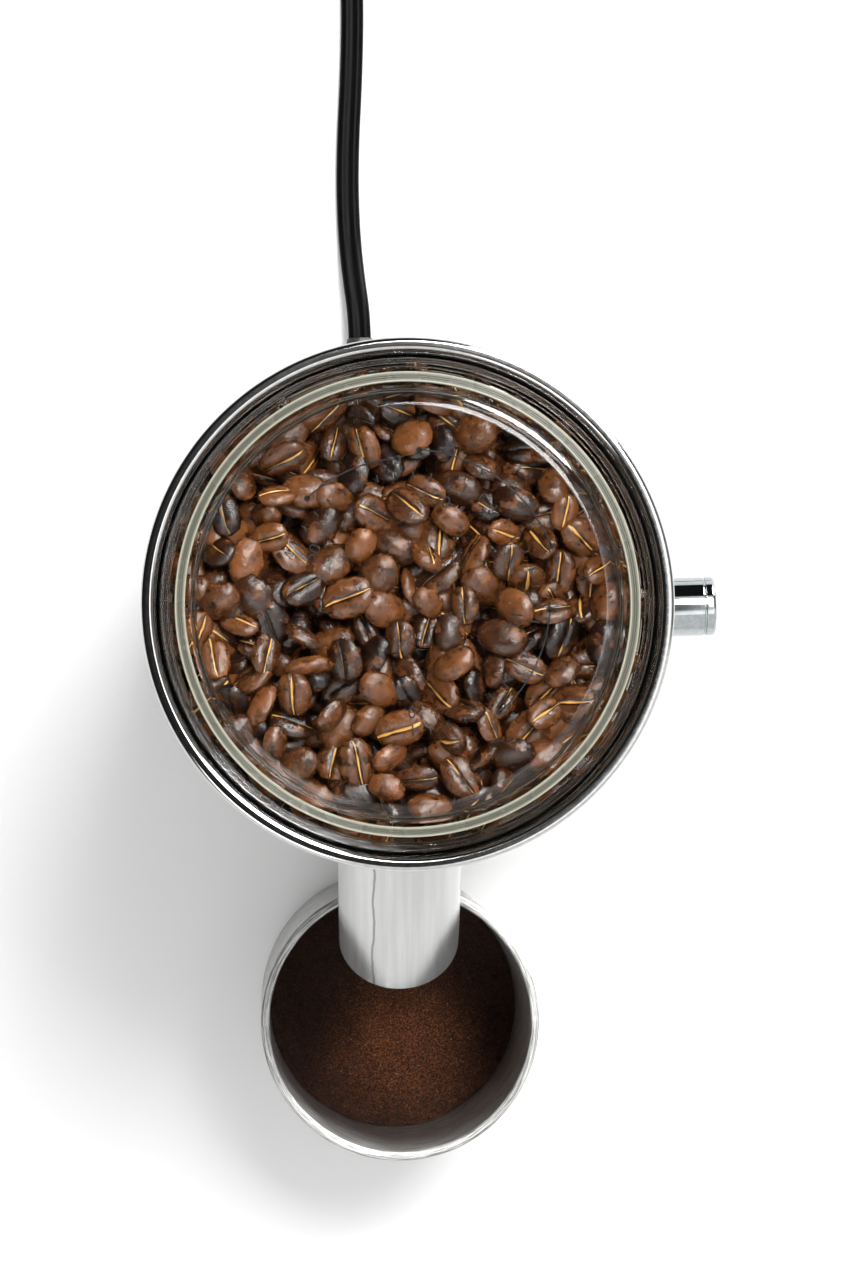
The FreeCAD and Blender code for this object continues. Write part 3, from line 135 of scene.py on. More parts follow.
class Tree:
    """A node tree that is filled through one method."""

    def __init__(self, owner: bpy.types.Material | bpy.types.World) -> None:
        """Empty the owner's node tree and take it over."""
        owner.use_nodes = True
        self.nodes = owner.node_tree.nodes
        self.links = owner.node_tree.links
        self.nodes.clear()

    def node(self, kind: str, settings: dict | None = None, inputs: dict | None = None) -> bpy.types.Node:
        """Add any node.

        Args:
            kind: The node's type name.
            settings: Attributes to set first; stops fills a colour ramp.
            inputs: Values or links for the node's sockets, by name or number.

        Returns:
            The new node.
        """
        made = self.nodes.new(kind)
        for name, value in (settings or {}).items():
            if name == "stops":
                self._fill_ramp(made.color_ramp, value)
            else:
                setattr(made, name, value)
        for name, value in (inputs or {}).items():
            socket = made.inputs[name]
            source = value.socket if isinstance(value, Signal) else value
            if isinstance(source, bpy.types.NodeSocket):
                self.links.new(source, socket)
            else:
                socket.default_value = source
        return made

    @staticmethod
    def _fill_ramp(ramp: bpy.types.ColorRamp, stops: list[tuple[float, tuple]]) -> None:
        """Give a colour ramp its stops."""
        while len(ramp.elements) < len(stops):
            ramp.elements.new(1.0)
        for element, (position, colour) in zip(ramp.elements, stops):
            element.position = position
            element.color = (*colour, 1.0)

    def spot(self, scale: Point = (1, 1, 1)) -> bpy.types.NodeSocket:
        """The place on the object, stretched by a scale."""
        where = self.node("ShaderNodeTexCoord").outputs["Object"]
        return self.node("ShaderNodeMapping", None, {"Vector": where, "Scale": scale}).outputs[0]

    def noise(self, scale: float, stretch: Point = (1, 1, 1), detail: float = 3.0,
              rough: float = 0.5) -> Signal:
        """A noise pattern on object coordinates.

        Args:
            scale: How fine the pattern is, per metre.
            stretch: A share of that scale for each axis.
            detail: How many finer layers are added.
            rough: How strong the finer layers are.

        Returns:
            The pattern, mostly between 0.3 and 0.7.
        """
        inputs = {"Vector": self.spot(stretch), "Scale": scale, "Detail": detail, "Roughness": rough}
        return Signal(self, self.node("ShaderNodeTexNoise", None, inputs).outputs["Fac"])

    def attribute(self, name: str) -> Signal:
        """A number stored on the mesh."""
        return Signal(self, self.node("ShaderNodeAttribute", {"attribute_name": name}).outputs["Fac"])

    def axes(self) -> list[Signal]:
        """The place on the object as three numbers."""
        where = self.node("ShaderNodeTexCoord").outputs["Object"]
        split = self.node("ShaderNodeSeparateXYZ", None, {0: where})
        return [Signal(self, output) for output in split.outputs]

    def principled(self, inputs: dict) -> bpy.types.Node:
        """The shader that every finish is made with."""
        return self.node("ShaderNodeBsdfPrincipled", None, inputs)

    def blend(self, factor: Signal | float, first: tuple | bpy.types.NodeSocket,
              second: tuple | bpy.types.NodeSocket) -> bpy.types.NodeSocket:
        """Mix two colours.

        Args:
            factor: 0 for the first colour, 1 for the second.
            first: A colour or a colour socket.
            second: A colour or a colour socket.

        Returns:
            The mixed colour's socket.
        """
        colours = [c if isinstance(c, bpy.types.NodeSocket) else (*c, 1.0) for c in (first, second)]
        node = self.node("ShaderNodeMix", {"data_type": "RGBA"}, {0: factor, 6: colours[0], 7: colours[1]})
        return node.outputs[2]

    def bump(self, height: Signal, depth: float, strength: float = 1.0) -> bpy.types.NodeSocket:
        """A normal from a height pattern.

        Args:
            height: The pattern.
            depth: The pattern's full height in metres.
            strength: How much of it shows.

        Returns:
            The normal's socket.
        """
        node = self.node("ShaderNodeBump", None, {"Height": height, "Distance": depth, "Strength": strength})
        return node.outputs[0]

    def surface(self, shader: bpy.types.Node) -> None:
        """Send a shader to the output."""
        self.node("ShaderNodeOutputMaterial", None, {"Surface": shader.outputs[0]})


def shaded(colour: tuple, share: float) -> tuple:
    """A colour made darker or lighter."""
    return tuple(c * share for c in colour)


def distance(across: Signal, ahead: Signal) -> Signal:
    """How far a place is from the middle."""
    return (across * across + ahead * ahead) ** 0.5


@dataclass(frozen=True)
class Finish:
    """What every finish has: a name and a base colour."""

    name: str
    base: tuple[float, float, float]

    def paint(self, tree: Tree) -> bpy.types.Node:
        """Build the shader; each finish has its own."""
        raise NotImplementedError

    def material(self) -> bpy.types.Material:
        """The finish's material, made once.

        Returns:
            The material with this finish's name.
        """
        found = bpy.data.materials.get(self.name)
        if found:
            return found
        made = bpy.data.materials.new(self.name)
        tree = Tree(made)
        tree.surface(self.paint(tree))
        return made


@dataclass(frozen=True)
class Metal(Finish):
    """Polished or brushed metal with fine scratches and a few smudges."""

    roughness: float = 0.12
    spread: float = 0.08
    grain: Point = (1.0, 1.0, 1.0)
    grain_scale: float = 900.0
    grain_depth: float = 2e-6
    wave_depth: float = 0.0
    metallic: float = 1.0
    seam: float = 0.0

    def paint(self, tree: Tree) -> bpy.types.Node:
        """Brush lines drive roughness, bump and a slight tone."""
        lines = tree.noise(self.grain_scale, self.grain, 4.0, 0.6)
        smudge = tree.noise(28.0, (1, 1, 1), 3.0, 0.55).between(0.42, 0.75)
        rough = lines * self.spread + smudge * (self.spread * 0.5) + (self.roughness - self.spread * 0.5)
        dark = shaded(self.base, 0.86)
        tone = tree.blend(lines.between(0.35, 0.7), dark, self.base)
        height = lines * self.grain_depth
        if self.wave_depth:
            height = height + tree.noise(60.0, (1, 0.12, 0.12), 1.0, 0.3) * self.wave_depth
        if self.seam:
            wander = tree.noise(90.0, (0.2, 1, 1), 3.0) * (1.6 * MM)
            line = (tree.axes()[0] + wander - self.seam).through("ABSOLUTE").between(0.45 * MM, 0.12 * MM)
            tone = tree.blend(line * 0.8, tone, shaded(self.base, 0.25))
        return tree.principled({
            "Base Color": tone, "Metallic": self.metallic, "Roughness": rough,
            "Normal": tree.bump(height, 1.0)})


@dataclass(frozen=True)
class RingBrushed(Finish):
    """Metal brushed round the axis of a turned piece, on its own coordinates."""

    roughness: float = 0.35
    spread: float = 0.25
    brush_depth: float = 3e-5
    centre: tuple[float, float] = (0.0, -115.9 * MM)
    lines: Point = (4500.0, 5.0, 3000.0)

    def paint(self, tree: Tree) -> bpy.types.Node:
        """Fine lines that follow the turning, broken up along their length."""
        x, y, z = tree.axes()
        across, ahead = x - self.centre[0], y - self.centre[1]
        turn = ahead.through("ARCTAN2", across)
        fine, slow, high = self.lines
        along = tree.node("ShaderNodeCombineXYZ", None, {
            0: distance(across, ahead) * fine, 1: turn * slow, 2: z * high})
        lines = Signal(tree, tree.node("ShaderNodeTexNoise", None, {
            "Vector": along.outputs[0], "Scale": 1.0, "Detail": 3.0, "Roughness": 0.65}).outputs["Fac"])
        shown = lines.between(0.36, 0.64)
        tone = tree.blend(shown, shaded(self.base, 0.28), self.base)
        rough = lines * self.spread + (self.roughness - self.spread * 0.5)
        return tree.principled({
            "Base Color": tone, "Metallic": 1.0, "Roughness": rough,
            "Normal": tree.bump(lines, self.brush_depth)})


@dataclass(frozen=True)
class Clear(Finish):
    """Clear moulded plastic that lets lamps through."""

    roughness: float = 0.02
    index: float = 1.46
    shade: float = 0.92

    def paint(self, tree: Tree) -> bpy.types.Node:
        """Bends light for the eye, and passes it straight for lamps."""
        ripple = tree.noise(70.0, (1, 1, 1), 1.0)
        body = tree.principled({
            "Base Color": (*self.base, 1.0), "Roughness": self.roughness, "IOR": self.index,
            "Transmission Weight": 1.0, "Normal": tree.bump(ripple, 3e-6)})
        pane = tree.node("ShaderNodeBsdfTransparent", None, {"Color": (self.shade,) * 3 + (1.0,)})
        lamp = tree.node("ShaderNodeLightPath").outputs["Is Shadow Ray"]
        return tree.node("ShaderNodeMixShader", None, {0: lamp, 1: body.outputs[0], 2: pane.outputs[0]})


@dataclass(frozen=True)
class Moulded(Finish):
    """Moulded plastic or rubber with a fine spark texture."""

    roughness: float = 0.5
    grain_scale: float = 1400.0
    grain_depth: float = 2e-5
    gloss: float = 0.5

    def paint(self, tree: Tree) -> bpy.types.Node:
        """A fine grain and a slow change of gloss."""
        grain = tree.noise(self.grain_scale, (1, 1, 1), 2.0)
        cloud = tree.noise(45.0, (1, 1, 1), 3.0)
        darker = shaded(self.base, 0.75)
        tone = tree.blend(cloud.between(0.3, 0.7), darker, self.base)
        return tree.principled({
            "Base Color": tone, "Roughness": cloud * 0.14 + (self.roughness - 0.07),
            "Specular IOR Level": self.gloss, "Normal": tree.bump(grain, self.grain_depth)})


@dataclass(frozen=True)
class Silicone(Finish):
    """Pale, slightly see-through silicone, lighter along both lips of the ring."""

    middle: float = 55.55 * MM
    lips: tuple[float, float] = (0.45 * MM, 0.95 * MM)

    def paint(self, tree: Tree) -> bpy.types.Node:
        """Soft light inside and a satin face."""
        cloud = tree.noise(120.0, (1, 1, 1), 3.0)
        away = (distance(*tree.axes()[:2]) - self.middle).through("ABSOLUTE")
        tone = tree.blend(away.between(*self.lips), shaded(self.base, 0.3), self.base)
        return tree.principled({
            "Base Color": tone, "Roughness": cloud * 0.1 + 0.22, "Subsurface Weight": 0.35,
            "Subsurface Radius": (0.004, 0.004, 0.003), "Subsurface Scale": 0.4})


@dataclass(frozen=True)
class Bean(Finish):
    """Roasted coffee bean, with its own tone, a pale crease, and painted shade along the crease and in its
    wrinkles.
    """

    crease: tuple[float, float, float] = (0.52, 0.27, 0.065)
    light: tuple[float, float, float] = (0.112, 0.036, 0.0092)

    def paint(self, tree: Tree) -> bpy.types.Node:
        """A tone for each bean, wrinkles, painted shade in the wrinkles' hollows and along the crease, and pale
        husk in the crease.
        """
        tone = tree.attribute("tone")
        crease_shade_and_husk = tree.attribute("crease")
        wrinkle = tree.noise(330.0, (1, 1, 1), 5.0, 0.6)
        mottle = tree.noise(240.0, (1, 1, 1), 3.0)
        skin = tree.blend(tone, self.base, self.light)
        skin = tree.blend(mottle.between(0.5, 0.75) * 0.45, skin, shaded(self.light, 1.7))
        # Painted shade: the hollows of the wrinkles are darkened.
        skin = tree.blend(wrinkle.between(0.5, 0.34) * 0.6, skin, shaded(self.base, 0.3))
        # Painted shade: the crease and the faces beside it are darkened; the pale husk is laid over it below.
        skin = tree.blend(crease_shade_and_husk.between(0.25, 0.7) * 0.85, skin, shaded(self.base, 0.3))
        patches = tree.noise(150.0, (1, 1, 1), 2.0)
        shown = (crease_shade_and_husk + patches * 0.9 + tone * 0.25).between(1.34, 1.56)
        skin = tree.blend(shown, skin, self.crease)
        return tree.principled({
            "Base Color": skin, "Roughness": wrinkle * 0.3 + 0.08, "Specular IOR Level": 0.6,
            "Normal": tree.bump(wrinkle, 6e-4)})


@dataclass(frozen=True)
class Grounds(Finish):
    """Ground coffee, granule by granule."""

    light: tuple[float, float, float] = (0.42, 0.125, 0.032)
    pale: tuple[float, float, float] = (0.62, 0.34, 0.16)
    mound: tuple[float, float] = (3 * MM, -128 * MM)
    # How fast the painted shade deepens with distance from the mound's top, per metre.
    fall: float = 20.0

    def paint(self, tree: Tree) -> bpy.types.Node:
        """Grains of several browns, a few pale flecks, random darker patches, and painted shade darkening the
        grounds away from the mound's top towards the cup wall.
        """
        grain = tree.noise(1700.0, (1, 1, 1), 5.0, 0.8)
        fleck = tree.noise(1300.0, (1, 1, 1), 1.0, 0.5)
        x, y = (place - middle for place, middle in zip(tree.axes(), self.mound))
        # Painted shade: the mask grows with distance from the mound's top, towards the cup wall; its noise adds
        # random darker patches.
        patch = tree.noise(70.0, (1, 1, 1), 3.0, 0.6) * 0.35 + distance(x, y) * self.fall
        tone = tree.blend(grain.between(0.42, 0.64), self.base, self.light)
        tone = tree.blend(fleck.between(0.69, 0.76), tone, self.pale)
        # Painted shade, with random darker patches, darkens the grounds by that mask.
        tone = tree.blend(patch.between(0.25, 0.85) * 0.85, tone, shaded(self.base, 0.8))
        return tree.principled({
            "Base Color": tone, "Roughness": grain * 0.2 + 0.7, "Normal": tree.bump(grain, 9e-4)})


@dataclass(frozen=True)
class Ink(Finish):
    """Printed ink."""

    def paint(self, tree: Tree) -> bpy.types.Node:
        """Near-black with a slight unevenness."""
        cloud = tree.noise(900.0, (1, 1, 1), 2.0)
        tone = tree.blend(cloud, self.base, tuple(c * 1.6 + 0.01 for c in self.base))
        return tree.principled({
            "Base Color": tone, "Roughness": cloud * 0.1 + 0.6, "Specular IOR Level": 0.05})


@dataclass(frozen=True)
class Tabletop(Finish):
    """A plain pale floor."""

    def paint(self, tree: Tree) -> bpy.types.Node:
        """Almost even, matte."""
        cloud = tree.noise(6.0, (1, 1, 1), 2.0)
        tone = tree.blend(cloud, shaded(self.base, 0.985), self.base)
        return tree.principled({"Base Color": tone, "Roughness": cloud * 0.05 + 0.6})


RIM_STEEL = Metal("rim_steel", (0.62, 0.615, 0.605), 0.1, 0.05, (1, 1, 3), 700.0, 1.5e-6)
SHELL_STEEL = Metal("shell_steel", (0.66, 0.66, 0.65), 0.26, 0.1, (0.02, 0.02, 1), 2600.0, 4e-6)
SPOUT_STEEL = Metal("spout_steel", (0.55, 0.55, 0.545), 0.16, 0.03, (1, 0.03, 0.03), 500.0, 5e-7, 9e-5, 0.75,
                    -7.2 * MM)
KNOB_CHROME = Metal("knob_chrome", (0.47, 0.50, 0.51), 0.06, 0.03, (1, 1, 1), 800.0, 3e-7)
CUP_STEEL = RingBrushed("cup_steel", (0.68, 0.675, 0.66), 0.48, 0.3, 1.6e-4)
LID_CLEAR = Clear("lid_clear", (0.97, 0.985, 0.98), 0.01, 1.3)
HOPPER_CLEAR = Clear("hopper_smoke", (0.34, 0.29, 0.25), 0.03, 1.46, 0.5)
PALE_SILICONE = Silicone("pale_silicone", (0.33, 0.325, 0.25))
BEAN_SKIN = Bean("bean_skin", (0.007, 0.0019, 0.0007))
COFFEE_GROUNDS = Grounds("coffee_grounds", (0.022, 0.006, 0.002))
BLACK_INK = Ink("black_ink", (0.012, 0.012, 0.012))
FLEX_SKIN = Moulded("flex_skin", (0.003, 0.003, 0.003), 0.4, 500.0, 6e-6, 0.05)
BLACK_RUBBER = Moulded("black_rubber", (0.022, 0.022, 0.022), 0.6)
BLACK_PLASTIC = Moulded("black_plastic", (0.03, 0.03, 0.031), 0.5)
PAD_RUBBER = Moulded("pad_rubber", (0.03, 0.03, 0.03), 0.75, 900.0, 6e-5)
TIE_CLOTH = Moulded("tie_cloth", (0.02, 0.02, 0.022), 0.85, 2600.0, 2e-4)
BLADE_BRASS = Metal("blade_brass", (0.83, 0.66, 0.36), 0.2, 0.08, (1, 1, 1), 900.0)
HIDDEN_FINISHES = {
    "cast_alloy": Metal("cast_alloy", (0.55, 0.55, 0.56), 0.42, 0.15, (1, 1, 1), 240.0, 6e-5),
    "hard_steel": Metal("hard_steel", (0.5, 0.5, 0.51), 0.25, 0.1, (1, 1, 0.1), 1200.0),
    "gear_nylon": Moulded("gear_nylon", (0.78, 0.75, 0.66), 0.42),
    "motor_paint": Moulded("motor_paint", (0.08, 0.08, 0.09), 0.4),
    "brass_parts": BLADE_BRASS,
    "armature_steel": Metal("armature_steel", (0.3, 0.28, 0.26), 0.4, 0.1, (0.1, 0.1, 1), 1800.0),
    "board_green": Moulded("board_green", (0.02, 0.13, 0.06), 0.3),
    "component_black": Moulded("component_black", (0.04, 0.04, 0.045), 0.45),
    "black_plastic": BLACK_PLASTIC,
    "black_rubber": BLACK_RUBBER,
    "brushed_steel": SHELL_STEEL,
    "polished_steel": SPOUT_STEEL,
    "knob_chrome": KNOB_CHROME,
    "cup_metal": CUP_STEEL,
    "clear_plastic": HOPPER_CLEAR,
    "pale_silicone": PALE_SILICONE,
    "flex_black": FLEX_SKIN,
}


# ------------------------------------------------------------------ mesh building
def rounded_outline(corners: list[Corner], steps: int = 6, closed: bool = True) -> Profile:
    """Round the corners of an outline.

    Args:
        corners: The outline's corners in order, each with its rounding if it has one.
        steps: Pieces in each rounded corner.
        closed: Whether the last corner joins the first.

    Returns:
        The outline with an arc in place of each rounded corner.
    """
    made: Profile = []
    count = len(corners)
    for i, (*place, radius) in enumerate((*c[:2], c[2] if c[2:] else 0) for c in corners):
        here = Vector(place)
        if radius <= 0 or (not closed and i in (0, count - 1)):
            made.append(tuple(place))
            continue
        back = (Vector(corners[i - 1][:2]) - here).normalized()
        forth = (Vector(corners[(i + 1) % count][:2]) - here).normalized()
        half = back.angle(forth) / 2
        centre = here + (back + forth).normalized() * (radius / math.sin(half))
        start = here + back * (radius / math.tan(half)) - centre
        end = here + forth * (radius / math.tan(half)) - centre
        turn = start.angle_signed(end)
        for k in range(steps + 1):
            arm = start.copy()
            arm.rotate(Matrix.Rotation(-turn * k / steps, 2))
            made.append(tuple(centre + arm))
    return made


class Shaper:
    """Builds one piece's mesh with bmesh operators and gives it to the scene."""

    def __init__(self, name: str, finish: Finish) -> None:
        """Start an empty mesh for a named piece."""
        self.name = name
        self.finish = finish
        self.bm = bmesh.new()

    def lathe(self, outline: Profile, segments: int = 160, closed: bool = True) -> Shaper:
        """Turn an outline about Z.

        Args:
            outline: Points of radius and height.
            segments: Steps in the full turn.
            closed: Whether the last point joins the first.

        Returns:
            This shaper.
        """
        bm = self.bm
        verts = [bm.verts.new((r, 0.0, z)) for r, z in outline]
        pairs = list(zip(verts, verts[1:])) + ([(verts[-1], verts[0])] if closed else [])
        edges = [bm.edges.new(pair) for pair in pairs]
        bmesh.ops.spin(bm, geom=verts + edges, cent=(0, 0, 0), axis=(0, 0, 1), dvec=(0, 0, 0),
                       angle=2 * math.pi, steps=segments, use_merge=True, use_normal_flip=False,
                       use_duplicate=False)
        bmesh.ops.remove_doubles(bm, verts=bm.verts, dist=1e-7)
        bmesh.ops.recalc_face_normals(bm, faces=bm.faces)
        return self

    def place(self, matrix: Matrix) -> Shaper:
        """Move everything made so far."""
        bmesh.ops.transform(self.bm, matrix=matrix, verts=self.bm.verts)
        return self

    def stamp(self, mesh: bpy.types.Mesh, matrix: Matrix) -> None:
        """Add a moved copy of a small mesh."""
        copy = mesh.copy()
        copy.transform(matrix)
        self.bm.from_mesh(copy)
        bpy.data.meshes.remove(copy)

    def release(self, name: str) -> bpy.types.Mesh:
        """Hand over what was made as a plain mesh."""
        mesh = bpy.data.meshes.new(name)
        self.bm.to_mesh(mesh)
        self.bm.free()
        return mesh

    def finish_piece(self, body: Body, slot: str, *replaced: str, sharp: float = 35.0,
                     even: bool = True) -> bpy.types.Object:
        """Make the object, ride it on its body and hide the CAD nodes that it stands for.

        Args:
            body: The body that it moves with.
            slot: Not used.
            replaced: CAD nodes that it stands for.
            sharp: Edges that turn by more degrees than this stay sharp.
            even: Whether flat faces get even normals beside their rounded edges.

        Returns:
            The finished object.
        """
        mesh = self.release(self.name)
        mesh.materials.append(self.finish.material())
        mesh.shade_smooth()
        mesh.set_sharp_from_angle(angle=math.radians(sharp))
        made = bpy.data.objects.new(self.name, mesh)
        bpy.context.scene.collection.objects.link(made)
        if even:
            made.modifiers.new("even_normals", "WEIGHTED_NORMAL").keep_sharp = True
        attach(made, body.value)
        if replaced:
            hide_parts(*replaced)
        LOG.info("%s: %d faces", self.name, len(mesh.polygons))
        return made


def turned(axis: Vector, start: Vector) -> Matrix:
    """The matrix that stands a piece turned about Z on a start point, along an axis."""
    return Matrix.Translation(start) @ axis.to_track_quat("Z", "Y").to_matrix().to_4x4()


def flattened(curve: bpy.types.Curve) -> bpy.types.Mesh:
    """Turn a curve into a mesh and remove the curve.

    Args:
        curve: A text or a spline.

    Returns:
        Its mesh.
    """
    holder = bpy.data.objects.new(curve.name, curve)
    bpy.context.scene.collection.objects.link(holder)
    bpy.context.view_layer.update()
    flat = bpy.data.meshes.new_from_object(holder)
    bpy.data.objects.remove(holder)
    bpy.data.curves.remove(curve)
    return flat


def middle_of(node: str) -> Vector:
    """The centre of a CAD node's box."""
    low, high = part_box(node)
    return (Vector(low) + Vector(high)) / 2


# ------------------------------------------------------------------ studio
@dataclass(frozen=True)
class Patch:
    """A bright part of the room that mirrors see, fading out round an aim."""

    aim: Point
    fade: tuple[float, float]
    level: float

    def glow(self, tree: Tree, way: bpy.types.NodeSocket) -> Signal:
        """The patch's light in a direction.

        Args:
            tree: The world's node tree.
            way: The direction looked in.

        Returns:
            The patch's level at its middle, and 0 past its fade.
        """
        aim = tuple(Vector(self.aim).normalized())
        node = tree.node("ShaderNodeVectorMath", {"operation": "DOT_PRODUCT"}, {0: way, 1: aim})
        return Signal(tree, node.outputs["Value"]).between(*self.fade) * self.level


@dataclass(frozen=True)
class Lamp:
    """A rectangular softbox."""

    name: str
    place: Point
    size: tuple[float, float]
    power: float


ROOM = (
    Patch((0.30, -0.93, 0.15), (0.38, 0.52), 1.0),
    Patch((1.0, 0.1, 0.0), (0.75, 0.95), 0.2),
    Patch((0.5, 0.85, 0.0), (0.97, 0.985), 0.25),
    Patch((0.56, 0.78, 0.30), (0.958, 0.962), 60.0),
)
ABOVE = Patch((0.2, 0.06, 0.97), (0.80, 0.83), 1.1)
BESIDE = Patch((1.0, 0.0, -0.105), (0.0, 0.006), 1.0)
LAMPS = (
    Lamp("key_softbox", (0.40, 0.59, 2.0), (0.6, 0.6), 36.0),
    Lamp("side_strip", (0.46, 0.04, 2.0), (0.4, 0.3), 1.0),
    Lamp("left_softbox", (-0.70, -1.0, 1.25), (0.8, 0.7), 6.0),
)


@dataclass
class Studio:
    """The floor, the lights and the camera."""

    camera_place: Point = (-0.0335, -0.0253, 1.252)
    camera_turn: Point = (1.016, -2.194, -1.942)
    lens: float = 112.4
    floor_size: float = 8.0
    ambient: float = 0.7
    dark_level: float = 0.012
    target: Point = (0.0, 0.0, 0.15)

    def build(self) -> None:
        """Make everything that is not the object."""
        self._floor()
        self._world()
        self._lights()
        self._camera()

    def _floor(self) -> None:
        """A pale floor far wider than the object."""
        bm = bmesh.new()
        bmesh.ops.create_grid(bm, x_segments=2, y_segments=2, size=self.floor_size / 2)
        mesh = bpy.data.meshes.new("floor")
        bm.to_mesh(mesh)
        bm.free()
        mesh.materials.append(Tabletop("pale_floor", (0.86, 0.86, 0.86)).material())
        floor = bpy.data.objects.new("floor", mesh)
        bpy.context.scene.collection.objects.link(floor)

    def _world(self) -> None:
        """Even light for matt faces; mirrors and clear pieces see a dark room with bright patches."""
        world = bpy.data.worlds.new("studio")
        bpy.context.scene.world = world
        bpy.context.scene.view_settings.view_transform = "Standard"
        tree = Tree(world)
        way = tree.node("ShaderNodeTexCoord").outputs["Generated"]
        room = sum(patch.glow(tree, way) for patch in ROOM)
        room = room + ABOVE.glow(tree, way) * BESIDE.glow(tree, way) + self.dark_level
        path = tree.node("ShaderNodeLightPath")
        mirrored = Signal(tree, path.outputs["Is Glossy Ray"])
        mirrored = mirrored.through("MAXIMUM", Signal(tree, path.outputs["Is Transmission Ray"]))
        level = mirrored * room + (1.0 - mirrored) * self.ambient
        glow = tree.node("ShaderNodeBackground", None, {"Color": (1.0, 1.0, 1.0, 1.0), "Strength": level})
        tree.node("ShaderNodeOutputWorld", None, {"Surface": glow.outputs[0]})

    def _lights(self) -> None:
        """Aim each softbox at the middle of the object."""
        for lamp in LAMPS:
            data = bpy.data.lights.new(lamp.name, "AREA")
            data.shape = "RECTANGLE"
            data.size, data.size_y = lamp.size
            data.energy = lamp.power
            made = bpy.data.objects.new(lamp.name, data)
            made.location = lamp.place
            made.rotation_euler = (Vector(self.target) - made.location).to_track_quat("-Z", "Y").to_euler()
            bpy.context.scene.collection.objects.link(made)

    def _camera(self) -> None:
        """An overhead camera, a little to the left and in front of the body's axis."""
        data = bpy.data.cameras.new("camera")
        data.lens = self.lens
        data.sensor_width = 36.0
        data.clip_end = 20.0
        camera = bpy.data.objects.new("camera", data)
        camera.location = self.camera_place
        camera.rotation_euler = Euler([math.radians(a) for a in self.camera_turn], "XYZ")
        bpy.context.scene.collection.objects.link(camera)
        bpy.context.scene.camera = camera


# ------------------------------------------------------------------ body, collar and rim
@dataclass
class Housing:
    """The adjusting collar and the rim."""

    radius: float = 65.0 * MM
    collar_wall: float = 1.6 * MM
    rim_width: float = 3.1 * MM
    rim_block: float = 8.0 * MM
    hopper_gap: float = 0.9 * MM
    groove_pitch: float = 2.0 * MM
    groove_depth: float = 0.35 * MM

    def build(self) -> None:
        """Make the turned steel pieces."""
        self._rim()
        self._collar()

    def _rim(self) -> None:
        """The polished ring round the lid, well rounded on top."""
        low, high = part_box("rim_ring")
        top, bottom = high[2], low[2]
        step = top - self.rim_block
        inner = self.radius - self.rim_width
        skirt = self.radius - self.hopper_gap
        corners = [
            (self.radius, bottom, 0.2 * MM), (self.radius, top, 1.2 * MM), (inner, top, 1.0 * MM),
            (inner, step, 0.1 * MM), (skirt, step), (skirt, bottom, 0.1 * MM),
        ]
        shaper = Shaper("rim", RIM_STEEL).lathe(rounded_outline(corners, 8), 224)
        shaper.finish_piece(Body.HOPPER, "brushed_steel", "rim_ring")

    def _collar(self) -> None:
        """The adjusting collar, with a ring of fine grip grooves."""
        low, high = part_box("adjust_collar")
        bottom, top = low[2], high[2]
        inner = self.radius - self.collar_wall
        corners = [(inner, bottom, 0.2 * MM), (self.radius, bottom, 0.5 * MM)]
        count = int((top - bottom - 4 * MM) / self.groove_pitch)
        first = (bottom + top - (count - 1) * self.groove_pitch) / 2
        for i in range(count):
            z = first + i * self.groove_pitch
            corners += [
                (self.radius, z - 0.5 * MM, 0.12 * MM), (self.radius - self.groove_depth, z, 0.2 * MM),
                (self.radius, z + 0.5 * MM, 0.12 * MM),
            ]
        corners += [(self.radius, top, 0.5 * MM), (inner, top, 0.2 * MM)]
        shaper = Shaper("collar_band", SHELL_STEEL).lathe(rounded_outline(corners, 4), 192)
        shaper.finish_piece(Body.COLLAR, "brushed_steel", "adjust_collar")


# ------------------------------------------------------------------ hopper, beans and lid
@dataclass
class Hopper:
    """The clear bean hopper."""

    outer: float = 64.0 * MM
    wall: float = 2.6 * MM
    ledge: float = 1.0 * MM
    funnel_top: float = 250.0 * MM
    funnel_bottom: float = 222.0 * MM
    funnel_wall: float = 2.0 * MM
    throat: float = 18.4 * MM
    throat_wall: float = 1.8 * MM
    spigot: float = 63.25 * MM
    spigot_depth: float = 7.0 * MM

    def build(self) -> None:
        """Turn the wall, the funnel and the throat as one clear piece."""
        low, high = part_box("hopper")
        bottom, top = low[2], high[2]
        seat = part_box("adjust_collar")[1][2] + 0.2 * MM
        inner = self.outer - self.wall
        throat_inner = self.throat - self.throat_wall
        edge = 0.3 * MM
        corners = [
            (self.outer, seat), (self.outer, top, edge), (inner - self.ledge, top, edge),
            (inner - self.ledge, top - 2.5 * MM), (inner, top - 4 * MM), (inner, self.funnel_top, 4 * MM),
            (throat_inner, self.funnel_bottom, 4 * MM), (throat_inner, bottom, edge),
            (self.throat, bottom, edge),
            (self.throat, self.funnel_bottom - self.funnel_wall, 5 * MM),
            (inner, self.funnel_top - self.funnel_wall - 1 * MM, 2 * MM),
            (inner, seat - self.spigot_depth, 0.2 * MM), (self.spigot, seat - self.spigot_depth, edge),
            (self.spigot, seat),
        ]
        shaper = Shaper("hopper_bowl", HOPPER_CLEAR).lathe(rounded_outline(corners, 5), 160)
        shaper.finish_piece(Body.HOPPER, "clear_plastic", "hopper")


